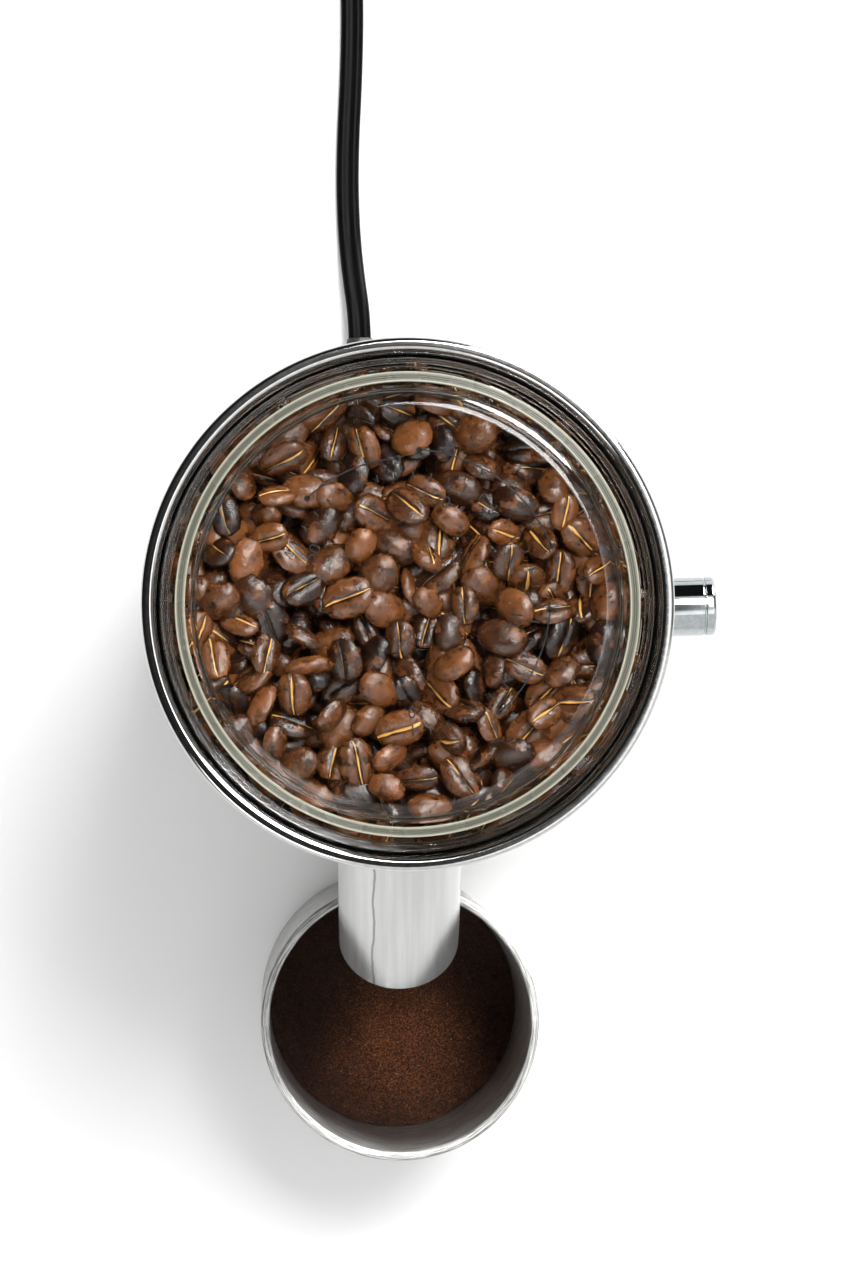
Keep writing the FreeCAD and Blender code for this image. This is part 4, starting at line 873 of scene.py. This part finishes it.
@dataclass
class BeanHeap:
    """Roasted beans heaped in the hopper."""

    length: float = 11.4 * MM
    width: float = 8.4 * MM
    height: float = 5.6 * MM
    count: int = 900
    tries: int = 10
    rest: float = 3.7 * MM
    squash: float = 0.85
    bluntness: float = 2.35
    top: float = 270.2 * MM
    skirt: float = 58.65 * MM
    seed: int = 11
    meridians: tuple = (-90, -81, -60, -30, 5, 45, 90, 135, 175, 210, 240, 261)

    def build(self) -> None:
        """Drop the beans and join them into one piece."""
        random.seed(self.seed)
        bean = self._bean()
        bare = [c.value for c in bean.attributes["crease"].data]
        shaper = Shaper("beans", BEAN_SKIN)
        tones: list[float] = []
        creases: list[float] = []
        for place in self._drop():
            size = random.uniform(0.84, 1.2)
            girth = size * random.uniform(0.92, 1.08)
            shape = Matrix.Diagonal((size, girth, girth, 1))
            shaper.stamp(bean, Matrix.Translation(place) @ self._lie() @ shape)
            tones += [min(1.0, max(0.0, random.gauss(0.36, 0.33)))] * len(bare)
            creases += bare
        made = shaper.finish_piece(Body.HOPPER, "component_black", sharp=60.0, even=False)
        for name, values in (("tone", tones), ("crease", creases)):
            layer = made.data.attributes.get(name) or made.data.attributes.new(name, "FLOAT", "POINT")
            layer.data.foreach_set("value", values)

    def _bean(self) -> bpy.types.Mesh:
        """One bean: domed on its back, flat in front with a crease along it."""
        shaper = Shaper("bean", BEAN_SKIN)
        bm = shaper.bm
        bmesh.ops.create_uvsphere(bm, u_segments=len(self.meridians), v_segments=6, radius=1.0)
        bmesh.ops.rotate(bm, verts=bm.verts, cent=(0, 0, 0), matrix=Matrix.Rotation(math.radians(90), 3, "Y"))
        layer = bm.verts.layers.float.new("crease")
        step = 360.0 / len(self.meridians)
        for v in bm.verts:
            ring = math.hypot(v.co.y, v.co.z)
            along = v.co.x
            full = max(0.0, 1 - abs(along) ** self.bluntness) ** (1 / self.bluntness)
            groove = 0.0
            if ring > 1e-4:
                index = round((math.degrees(math.atan2(v.co.z, v.co.y)) + 90.0) / step) % len(self.meridians)
                angle = math.radians(self.meridians[index])
                groove = 1.0 if index == 0 else 0.0
                v.co.y, v.co.z = full * math.cos(angle), full * math.sin(angle)
                near = index in (1, len(self.meridians) - 1)
                v[layer] = 1.0 if groove else (0.45 if near else 0.0)
            if v.co.z < 0:
                v.co.z *= 0.62
            v.co.z += groove * 0.26 * (1 - along ** 2)
            v.co.y += 0.06 * math.sin(3.0 * along) * (0.5 - 0.5 * v.co.z)
            v.co.x *= self.length / 2 * (1 - 0.05 * v.co.z)
            v.co.y *= self.width / 2
            v.co.z *= self.height / 2
        return shaper.release("bean")

    def _lie(self) -> Matrix:
        """A resting attitude: on its flat side, on its back or leaning."""
        flip = math.pi if random.random() < 0.6 else 0.0
        tilt = Euler((random.gauss(0, 0.55), random.gauss(0, 0.42), 0)).to_matrix()
        roll = Matrix.Rotation(flip, 3, "X")
        yaw = Matrix.Rotation(random.uniform(0, 2 * math.pi), 3, "Z")
        return (yaw @ tilt @ roll).to_4x4()

    def _floor_at(self, radius: float, hopper: Hopper) -> float:
        """The height of the funnel's face at a radius."""
        inner = hopper.outer - hopper.wall
        throat = hopper.throat - hopper.throat_wall
        share = max(0.0, (radius - throat) / (inner - throat))
        return hopper.funnel_bottom + share * (hopper.funnel_top - hopper.funnel_bottom) + 3.4 * MM

    def _drop(self) -> list[Vector]:
        """Where each bean comes to rest, lowest places first."""
        hopper = Hopper()
        reach = hopper.outer - hopper.wall - 4.9 * MM
        upper_reach = self.skirt - 4.9 * MM
        placed: list[Vector] = []
        misses = 0
        while len(placed) < self.count and misses < 90:
            best = None
            for _ in range(self.tries):
                angle = random.uniform(0, 2 * math.pi)
                radius = reach * math.sqrt(random.random())
                x, y = radius * math.cos(angle), radius * math.sin(angle)
                z = self._floor_at(radius, hopper)
                for other in placed:
                    gap = math.hypot(other.x - x, other.y - y)
                    if gap < 2 * self.rest:
                        z = max(z, other.z + self.squash * math.sqrt(4 * self.rest ** 2 - gap ** 2) * 0.8)
                clear = radius < upper_reach or z < 260 * MM
                if clear and (best is None or z < best.z):
                    best = Vector((x, y, z))
            if best is None or best.z > self.top - 3.4 * MM:
                misses += 1
                continue
            placed.append(best)
        LOG.info("beans: %d placed, highest %.4f", len(placed), max(p.z for p in placed))
        return placed


@dataclass
class Lid:
    """The clear lid, its pale seal and the printed grind guide."""

    flange: float = 1.95 * MM
    groove_depth: float = 3.4 * MM
    seal_outer: float = 56.8 * MM
    seal_inner: float = 54.3 * MM
    drop: float = 1.7 * MM
    crown_drop: float = 0.6 * MM
    crown_curve: float = 6.0 * MM
    crown_turn: float = 60.0
    wall: float = 2.0 * MM
    skirt_wall: float = 1.6 * MM
    ribs: int = 5
    print_rise: float = 0.03 * MM
    arc_step: float = 2.5
    ticks: int = 31
    first_tick: float = 150.0
    tick_step: float = 8.0

    def build(self) -> None:
        """Make the lid, the seal and the print."""
        low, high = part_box("lid")
        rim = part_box("rim_ring")[1][2]
        self.top = rim - self.drop
        self.crown = rim - self.crown_drop
        self.outer = high[0] + 0.02 * MM
        self.under = low[2]
        self.rest = rim - 8.0 * MM
        self._window()
        self._seal()
        self._print()

    def _arc(self, start: float, radius: float, top: float) -> Profile:
        """The curve that goes down round the window, from its flat face outwards."""
        turns = [math.radians(self.crown_turn * i / 12) for i in range(13)]
        return [(start + radius * math.sin(t), top - radius * (1 - math.cos(t))) for t in turns]

    def _window(self) -> None:
        """The flange, the groove, the seal's channel and the crowned window, in one turned piece."""
        flange_inner = self.outer - self.flange
        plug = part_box("rim_ring")[1][0] - 4.75 * MM
        groove = self.top - self.groove_depth
        channel = groove - 0.4 * MM
        start = self.seal_inner - 0.8 * MM - self.crown_curve * math.sin(math.radians(self.crown_turn))
        over = self._arc(start, self.crown_curve, self.crown)
        below = self._arc(start, self.crown_curve - self.wall, self.crown - self.wall)[::-1]
        corners = [
            (0, self.crown), *over, (self.seal_inner, over[-1][1], 0.1 * MM), (self.seal_inner, channel),
            (self.seal_outer, channel), (self.seal_outer, groove, 0.1 * MM),
            (flange_inner - 0.6 * MM, groove, 0.4 * MM), (flange_inner, self.top, 0.5 * MM),
            (self.outer, self.top, 0.4 * MM), (self.outer, self.rest, 0.2 * MM), (plug, self.rest, 0.1 * MM),
            (plug, self.under, 0.4 * MM), (plug - self.skirt_wall, self.under, 0.4 * MM),
            (plug - self.skirt_wall, channel - self.wall, 0.5 * MM),
            (below[0][0], channel - self.wall, 0.3 * MM), *below, (0, self.crown - self.wall),
        ]
        outline = rounded_outline(corners, 7, closed=False)
        shaper = Shaper("lid_window", LID_CLEAR).lathe(outline, 192, closed=False)
        shaper.finish_piece(Body.LID, "clear_plastic", "lid")

    def _seal(self) -> None:
        """The silicone ring, with fine concentric ribs on its face."""
        low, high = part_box("lid_seal")
        bottom, top = low[2], high[2]
        outer, inner = self.seal_outer - 0.01 * MM, self.seal_inner + 0.01 * MM
        pitch = (outer - inner) / self.ribs
        corners = [(outer, bottom), (outer, top - 0.1 * MM, 0.15 * MM)]
        for i in range(self.ribs):
            r = outer - (i + 0.5) * pitch
            corners += [(r + 0.30 * pitch, top, 0.08 * MM), (r - 0.30 * pitch, top, 0.08 * MM),
                        (r - 0.5 * pitch, top - 0.22 * MM, 0.05 * MM)]
        corners[-1:] = [(inner, top - 0.1 * MM, 0.1 * MM), (inner, bottom)]
        shaper = Shaper("seal_ring", PALE_SILICONE).lathe(rounded_outline(corners, 3), 192)
        shaper.finish_piece(Body.LID, "pale_silicone", "lid_seal", sharp=70.0)

    def _band(self, shaper: Shaper, radius: float, width: float, start: float, end: float) -> None:
        """Add a printed line along an arc.

        Args:
            shaper: What the print is added to.
            radius: The arc's radius.
            width: The line's width.
            start: The angle that it starts at, in degrees.
            end: The angle that it ends at, in degrees.
        """
        bm = shaper.bm
        a = math.radians(start)
        sides = (radius - width / 2, radius + width / 2)
        ends = [bm.verts.new((r * math.cos(a), r * math.sin(a), 0)) for r in sides]
        edge = bm.edges.new(ends)
        steps = max(2, int(abs(end - start) / self.arc_step))
        bmesh.ops.spin(bm, geom=ends + [edge], cent=(0, 0, 0), axis=(0, 0, 1),
                       angle=math.radians(end - start), steps=steps, use_merge=False, use_duplicate=False)

    def _dot(self, shaper: Shaper, radius: float, angle: float, size: float) -> None:
        """Add a printed dot."""
        a = math.radians(angle)
        spot = Matrix.Translation((radius * math.cos(a), radius * math.sin(a), 0))
        bmesh.ops.create_circle(shaper.bm, cap_ends=True, segments=20, radius=size, matrix=spot)

    def _tick(self, shaper: Shaper, inner: float, outer: float, angle: float, width: float) -> None:
        """Add a radial tick."""
        turn = Matrix.Rotation(math.radians(angle), 4, "Z")
        size = Matrix.Diagonal(((outer - inner) / 2, width / 2, 1, 1))
        place = turn @ Matrix.Translation(((outer + inner) / 2, 0, 0)) @ size
        bmesh.ops.create_grid(shaper.bm, x_segments=1, y_segments=1, size=1.0, matrix=place)

    def _number(self, shaper: Shaper, text: str, radius: float, angle: float, size: float) -> None:
        """Add a printed number, upright along the radius.

        Args:
            shaper: What the print is added to.
            text: The number.
            radius: How far from the middle it stands.
            angle: Its angle in degrees.
            size: Its height.
        """
        curve = bpy.data.curves.new("number", "FONT")
        curve.body = text
        curve.size = size
        curve.align_x = "CENTER"
        curve.align_y = "CENTER"
        turn = Matrix.Rotation(math.radians(angle - 90), 4, "Z") @ Matrix.Translation((0, radius, 0))
        shaper.stamp(flattened(curve), turn)

    def _print(self) -> None:
        """The grind guide: three ranges, ticks and numbers."""
        shaper = Shaper("grind_guide", BLACK_INK)
        ranges = [(35.5, 92.0, 132.0), (37.6, 20.0, 84.0), (34.4, -52.0, -4.0)]
        for radius, start, end in ranges:
            self._band(shaper, radius * MM, 0.4 * MM, start, end)
            for angle in (start, end):
                self._dot(shaper, radius * MM, angle, 0.75 * MM)
        for i in range(self.ticks):
            angle = self.first_tick - self.tick_step * i
            long = i % 5 == 0
            self._tick(shaper, (29.2 if long else 30.4) * MM, 32.2 * MM, angle, 0.42 * MM)
        for i in range(0, self.ticks, 10):
            number = 50 - 10 * (i // 5) if i < 26 else 0
            angle = self.first_tick - self.tick_step * i
            self._number(shaper, str(number), 26.2 * MM, angle, 4.2 * MM)
        bmesh.ops.recalc_face_normals(shaper.bm, faces=shaper.bm.faces)
        shaper.place(Matrix.Translation((0, 0, self.crown + self.print_rise)))
        made = shaper.finish_piece(Body.LID, "component_black", even=False)
        made.modifiers.new("ink", "SOLIDIFY").thickness = 0.02 * MM


# ------------------------------------------------------------------ spout and cup
@dataclass
class Spout:
    """The slanted polished tube that the grounds leave by."""

    radius: float = 17.15 * MM
    wall: float = 1.3 * MM
    slant: float = 56.0
    end: Point = (0.0, -90.8 * MM, 105.6 * MM)
    flange_y: float = -57.0 * MM

    def build(self) -> None:
        """Turn the tube, lay it along its slant and trim it inside the body."""
        length = 110 * MM
        inner = self.radius - self.wall
        lip = 0.55 * MM
        corners = [(self.radius, 0, lip), (self.radius, length), (inner, length), (inner, 0, lip)]
        shaper = Shaper("spout", SPOUT_STEEL)
        bm = shaper.lathe(rounded_outline(corners, 6), 128).bm
        around = [e for e in bm.edges if abs(e.verts[0].co.z - e.verts[1].co.z) > length / 2]
        bmesh.ops.subdivide_edges(bm, edges=around, cuts=24, use_grid_fill=False)
        slant = math.radians(self.slant)
        axis = Vector((0, math.cos(slant), math.sin(slant)))
        shaper.place(turned(axis, Vector(self.end)))
        cut = bm.verts[:] + bm.edges[:] + bm.faces[:]
        bmesh.ops.bisect_plane(bm, geom=cut, plane_co=(0, self.flange_y, 0), plane_no=(0, 1, 0),
                               clear_outer=True)
        rims = [e for e in bm.edges if e.is_boundary]
        bmesh.ops.bridge_loops(bm, edges=rims)
        bmesh.ops.recalc_face_normals(bm, faces=bm.faces)
        shaper.finish_piece(Body.BASE, "polished_steel", "spout_tube")


@dataclass
class Cup:
    """The straight-sided metal cup with ground coffee in it."""

    wall: float = 2.6 * MM
    floor: float = 3.0 * MM
    fill: float = 19.0 * MM
    mound: float = 6.0 * MM
    granules: int = 1500
    seed: int = 5

    def build(self) -> None:
        """Make the cup and what is in it."""
        low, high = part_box("grounds_cup")
        self.centre = middle_of("grounds_cup")
        self.radius = (high[0] - low[0]) / 2
        self.top = high[2]
        self.inner = self.radius - self.wall
        self._cup()
        self._grounds()

    def _cup(self) -> None:
        """A turned wall with a rounded lip and a rounded foot."""
        foot, lip = 0.3 * MM, 0.9 * MM
        corners = [
            (0, 0.4 * MM), (self.radius - 8 * MM, 0.4 * MM, foot), (self.radius - 8.6 * MM, 0, foot),
            (self.radius, 0, 1.5 * MM), (self.radius, self.top, lip), (self.inner, self.top, lip),
            (self.inner, self.floor, 2.5 * MM), (0, self.floor),
        ]
        shaper = Shaper("cup", CUP_STEEL)
        shaper.lathe(rounded_outline(corners, 7, closed=False), 192, closed=False)
        shaper.place(Matrix.Translation((self.centre.x, self.centre.y, 0)))
        shaper.finish_piece(Body.CUP, "cup_metal", "grounds_cup")

    def _height(self, x: float, y: float) -> float:
        """The height of the grounds above their edge at a place."""
        away = math.hypot(x + 3 * MM, y + 9 * MM) / self.inner
        ripple = 0.6 * MM * math.sin(430 * x + 1.3) * math.cos(390 * y + 0.4)
        inside = 1 - min(1.0, math.hypot(x, y) / self.inner)
        return self.mound * math.exp(-(away * 1.9) ** 2) + ripple * inside

    def _granule(self) -> bpy.types.Mesh:
        """One granule of unit size."""
        shaper = Shaper("granule", COFFEE_GROUNDS)
        bmesh.ops.create_icosphere(shaper.bm, subdivisions=1, radius=1.0)
        return shaper.release("granule")

    def _grounds(self) -> None:
        """A closed heap, rough on top, and loose granules over it."""
        random.seed(self.seed)
        edge = self.inner - 0.15 * MM
        outline = [(0, self.floor + 0.1 * MM), (edge - 2.4 * MM, self.floor + 0.1 * MM),
                   (edge, self.floor + 2.6 * MM), (edge, self.fill)]
        rings = 46
        outline += [(edge * (1 - i / rings), self.fill) for i in range(1, rings + 1)]
        shaper = Shaper("grounds", COFFEE_GROUNDS).lathe(outline, 150, closed=False)
        bm = shaper.bm
        for v in bm.verts:
            if v.co.z > self.fill - 0.01 * MM:
                v.co.z += self._height(v.co.x, v.co.y) + random.uniform(-0.28, 0.28) * MM
        grain = self._granule()
        for _ in range(self.granules):
            radius = (edge - 0.6 * MM) * math.sqrt(random.random())
            angle = random.uniform(0, 2 * math.pi)
            x, y = radius * math.cos(angle), radius * math.sin(angle)
            size = random.uniform(0.35, 0.75) * MM
            spin = Euler([random.uniform(0, math.pi) for _ in range(3)]).to_matrix().to_4x4()
            shape = Matrix.Diagonal((size, size * random.uniform(0.6, 1.0), size * random.uniform(0.5, 0.9), 1))
            spot = Matrix.Translation((x, y, self.fill + self._height(x, y) + 0.15 * MM))
            shaper.stamp(grain, spot @ spin @ shape)
        shaper.place(Matrix.Translation((self.centre.x, self.centre.y, 0)))
        shaper.finish_piece(Body.CUP, "component_black", sharp=75.0, even=False)


# ------------------------------------------------------------------ knob
@dataclass
class Knob:
    """The chrome push and turn knob."""

    rim: float = 1.1 * MM
    groove: float = 0.3 * MM
    wall: float = 2 * MM
    hollow: float = 10.4 * MM
    socket: float = 3.1 * MM
    socket_end: float = 14 * MM

    def build(self) -> None:
        """Turn the cap with a fine groove near its end, hollow behind."""
        low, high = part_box("knob_cap")
        radius = (high[2] - low[2]) / 2
        length = high[0] - low[0]
        middle = middle_of("knob_cap")
        line = length - 3.0 * MM
        corners = [
            (0, length), (radius, length, self.rim), (radius, line + 0.35 * MM, 0.1 * MM),
            (radius - self.groove, line + 0.2 * MM, 0.08 * MM),
            (radius - self.groove, line - 0.2 * MM, 0.08 * MM),
            (radius, line - 0.35 * MM, 0.1 * MM), (radius, 0, 0.6 * MM), (radius - self.wall, 0, 0.3 * MM),
            (radius - self.wall, self.hollow, 0.3 * MM), (self.socket, self.hollow),
            (self.socket, self.socket_end), (0, self.socket_end),
        ]
        shaper = Shaper("knob_chrome_cap", KNOB_CHROME)
        shaper.lathe(rounded_outline(corners, 6, closed=False), 96, closed=False)
        shaper.place(turned(Vector((1, 0, 0)), Vector((low[0], middle.y, middle.z))))
        shaper.finish_piece(Body.KNOB, "knob_chrome", "knob_cap")


# ------------------------------------------------------------------ flex
@dataclass
class Flex:
    """The flat twin flex: the stretch behind the body, its coil and its plug."""

    width: float = 7.0 * MM
    thickness: float = 3.5 * MM
    coil_centre: tuple[float, float] = (38.0, 253.0)
    coil_radius: float = 39.0
    coil_turns: int = 3
    points_per_turn: int = 14
    layer: float = 3.6
    lead: list[Point] = field(default_factory=lambda: [
        (-3.0, 90.0, 8.0), (-3.0, 98.0, 8.0), (-4.2, 109.0, 5.4), (-5.0, 121.0, 2.4), (-5.2, 136.0, 1.8),
        (-4.5, 152.0, 1.8), (-2.9, 171.0, 1.8), (-1.8, 190.0, 1.8), (-1.5, 208.0, 1.8), (-1.9, 226.0, 1.8),
        (-1.4, 240.0, 1.8)])
    tail: list[Point] = field(default_factory=lambda: [
        (50.0, 291.0, 9.1), (62.0, 291.6, 8.9), (74.0, 293.8, 7.6), (86.0, 297.4, 6.5), (95.0, 297.4, 6.5)])

    def build(self) -> None:
        """Make the strain relief, the plug, the tie and the flex."""
        self._relief()
        plug = self._plug()
        tie = self._tie()
        route = self._route()
        line = self._line(route)
        cord = self._strands(line)

    def _route(self) -> list[Point]:
        """The lead, the turns of the coil and the tail, in millimetres."""
        x, y = self.coil_centre
        turns = []
        count = int(self.points_per_turn * (self.coil_turns + 0.25))
        for i in range(1, count):
            share = i / self.points_per_turn
            angle = math.pi - 2 * math.pi * share
            wander = 1.4 * math.sin(2.3 * share + 0.6) - 0.5
            radius = self.coil_radius + wander
            turns.append((x + radius * math.cos(angle), y + radius * math.sin(angle),
                          1.8 + self.layer * min(share, 2.0)))
        return self.lead + turns + self.tail

    def _line(self, route: list[Point]) -> list[Vector]:
        """The smooth line of the flex, read from its spline."""
        curve = bpy.data.curves.new("flex_line", "CURVE")
        curve.dimensions = "3D"
        curve.resolution_u = 6
        spline = curve.splines.new("NURBS")
        spline.points.add(len(route) - 1)
        for point, place in zip(spline.points, route):
            point.co = (*(c * MM for c in place), 1.0)
        spline.order_u = 3
        spline.use_endpoint_u = True
        return [v.co.copy() for v in flattened(curve).vertices]

    def _section(self) -> Profile:
        """The figure-of-eight outline of the twin flex."""
        half = self.thickness / 2
        centre = self.width / 2 - half
        made: Profile = []
        for side, first in ((1, -130), (-1, 50)):
            for k in range(11):
                angle = math.radians(first + 26 * k)
                made.append((side * centre + half * math.cos(angle), half * math.sin(angle)))
        return made

    def _strands(self, line: list[Vector]) -> bpy.types.Object:
        """Sweep the flex's outline along its line, always lying flat."""
        shaper = Shaper("flex", FLEX_SKIN)
        bm = shaper.bm
        section = self._section()
        rings = []
        for i, here in enumerate(line):
            ahead = (line[min(i + 1, len(line) - 1)] - line[max(i - 1, 0)]).normalized()
            side = ahead.cross(Vector((0, 0, 1))).normalized()
            up = side.cross(ahead)
            rings.append([bm.verts.new(here + side * u + up * v) for u, v in section])
        loops = [[bm.edges.new((a, b)) for a, b in zip(ring, ring[1:] + ring[:1])] for ring in rings]
        for first, second in zip(loops, loops[1:]):
            bmesh.ops.bridge_loops(bm, edges=first + second)
        bmesh.ops.contextual_create(bm, geom=rings[0])
        bmesh.ops.contextual_create(bm, geom=rings[-1])
        bmesh.ops.recalc_face_normals(bm, faces=bm.faces)
        return shaper.finish_piece(Body.BASE, "flex_black", "power_cord", "cord_coil", "cord_tail",
                                   even=False)

    def _relief(self) -> None:
        """A ribbed, tapered sleeve where the flex leaves the body."""
        back = 65.0 * MM
        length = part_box("strain_relief")[1][1] - back
        x, _, z = (c * MM for c in self.lead[0])
        corners = [(0, -4 * MM), (4.55 * MM, -4 * MM), (4.6 * MM, 3 * MM)]
        ribs = 5
        for i in range(ribs):
            start = 4.5 * MM + i * (length - 6 * MM) / ribs
            big, small = (4.5 - 0.06 * i) * MM, (3.75 - 0.02 * i) * MM
            corners += [(small, start), (small, start + 1.3 * MM), (big, start + 1.5 * MM),
                        (big, start + 3.6 * MM)]
        corners += [(3.9 * MM, length), (0, length)]
        shaper = Shaper("relief_sleeve", BLACK_RUBBER)
        rounded = [(*corner, 0.2 * MM) for corner in corners]
        shaper.lathe(rounded_outline(rounded, 3, closed=False), 48, closed=False)
        shaper.place(turned(Vector((0, 1, 0)), Vector((x, back, z))))
        shaper.finish_piece(Body.BASE, "black_rubber", "strain_relief")

    def _plug(self) -> bpy.types.Object:
        """The moulded plug, with a grip waist and a ribbed tail."""
        low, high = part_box("plug_body")
        shaper = Shaper("plug", BLACK_PLASTIC)
        bm = shaper.bm
        neck = 12 * MM
        size = Vector((high[0] - low[0] - neck, high[1] - low[1], high[2] - low[2]))
        centre = Vector(((low[0] + neck + high[0]) / 2, (low[1] + high[1]) / 2, (low[2] + high[2]) / 2))
        bmesh.ops.create_cube(bm, size=1.0, matrix=Matrix.Translation(centre) @ Matrix.Diagonal((*size, 1)))
        along = [e for e in bm.edges if abs(e.verts[0].co.x - e.verts[1].co.x) > 1e-4]
        bmesh.ops.subdivide_edges(bm, edges=along, cuts=5, use_grid_fill=True)
        for v in bm.verts:
            share = (v.co.x - low[0] - neck) / size.x
            waist = 1 - 0.16 * math.sin(math.pi * min(1.0, share * 1.5)) ** 2 if share < 0.67 else 1.0
            taper = 0.82 + 0.18 * min(1.0, share * 3)
            v.co.y = centre.y + (v.co.y - centre.y) * waist * taper
            v.co.z = centre.z + (v.co.z - centre.z) * (0.86 + 0.14 * min(1.0, share * 3))
        sharp = [e for e in bm.edges if e.is_manifold and e.calc_face_angle() > math.radians(40)]
        bmesh.ops.bevel(bm, geom=sharp, offset=2.2 * MM, affect="EDGES", segments=5, profile=0.5, material=-1)
        tail = Shaper("plug_tail", BLACK_PLASTIC)
        corners = [(0, 0), (3.95 * MM, 0)]
        for i in range(4):
            start = (1.0 + 2.6 * i) * MM
            r = (4.1 + 0.35 * i) * MM
            corners += [(r, start), (r, start + 1.5 * MM), (r - 0.6 * MM, start + 1.7 * MM),
                        (r - 0.6 * MM, start + 2.4 * MM)]
        corners += [(5.4 * MM, 12 * MM), (5.4 * MM, 14 * MM), (0, 14 * MM)]
        rounded = [(*corner, 0.2 * MM) for corner in corners]
        tail.lathe(rounded_outline(rounded, 3, closed=False), 40, closed=False)
        _, y, z = (c * MM for c in self.tail[-1])
        tail.place(turned(Vector((1, 0, 0)), Vector((low[0], y, z))))
        shaper.stamp(tail.release("plug_tail"), Matrix())
        return shaper.finish_piece(Body.BASE, "flex_black", "plug_body")

    def _tie(self) -> bpy.types.Object:
        """The strap round the coil: the frame's own strap, with its sharp edges rounded."""
        source = frame["nodes"]["cord_tie"]
        shaper = Shaper("tie", TIE_CLOTH)
        bm = shaper.bm
        bm.from_mesh(source.data)
        bmesh.ops.remove_doubles(bm, verts=bm.verts, dist=1e-6)
        bmesh.ops.dissolve_limit(bm, angle_limit=math.radians(1), verts=bm.verts, edges=bm.edges)
        edges = [e for e in bm.edges if e.is_manifold and e.calc_face_angle() > math.radians(40)]
        bmesh.ops.bevel(bm, geom=edges, offset=0.35 * MM, affect="EDGES", segments=3, profile=0.5, material=-1)
        return shaper.finish_piece(Body.BASE, "flex_black", "cord_tie")


# ------------------------------------------------------------------ carried-over nodes
class CarriedNodes:
    """The CAD nodes that are shown as they are, each in its slot's finish."""

    def build(self) -> None:
        """Give every node the finish of its material slot, in place of the plain one it came with."""
        for node in frame["nodes"].values():
            node.data.materials.clear()
        for plain in list(bpy.data.materials):
            bpy.data.materials.remove(plain)
        slots = {part["node"]: part["material_slot"] for part in frame["record"]["subparts"]}
        for name, node in frame["nodes"].items():
            finish = PAD_RUBBER if name == "foot_pad" else HIDDEN_FINISHES[slots[name]]
            node.data.materials.append(finish.material())


def main() -> None:
    """Build every sub-assembly in order."""
    logging.basicConfig(level=logging.INFO, format="%(message)s")
    CarriedNodes().build()
    for part in (Studio(), Housing(), Hopper(), Lid(), Spout(), Cup(), Knob(), Flex(), BeanHeap()):
        part.build()
        LOG.info("%s done", type(part).__name__)


if __name__ == "__main__":
    main()
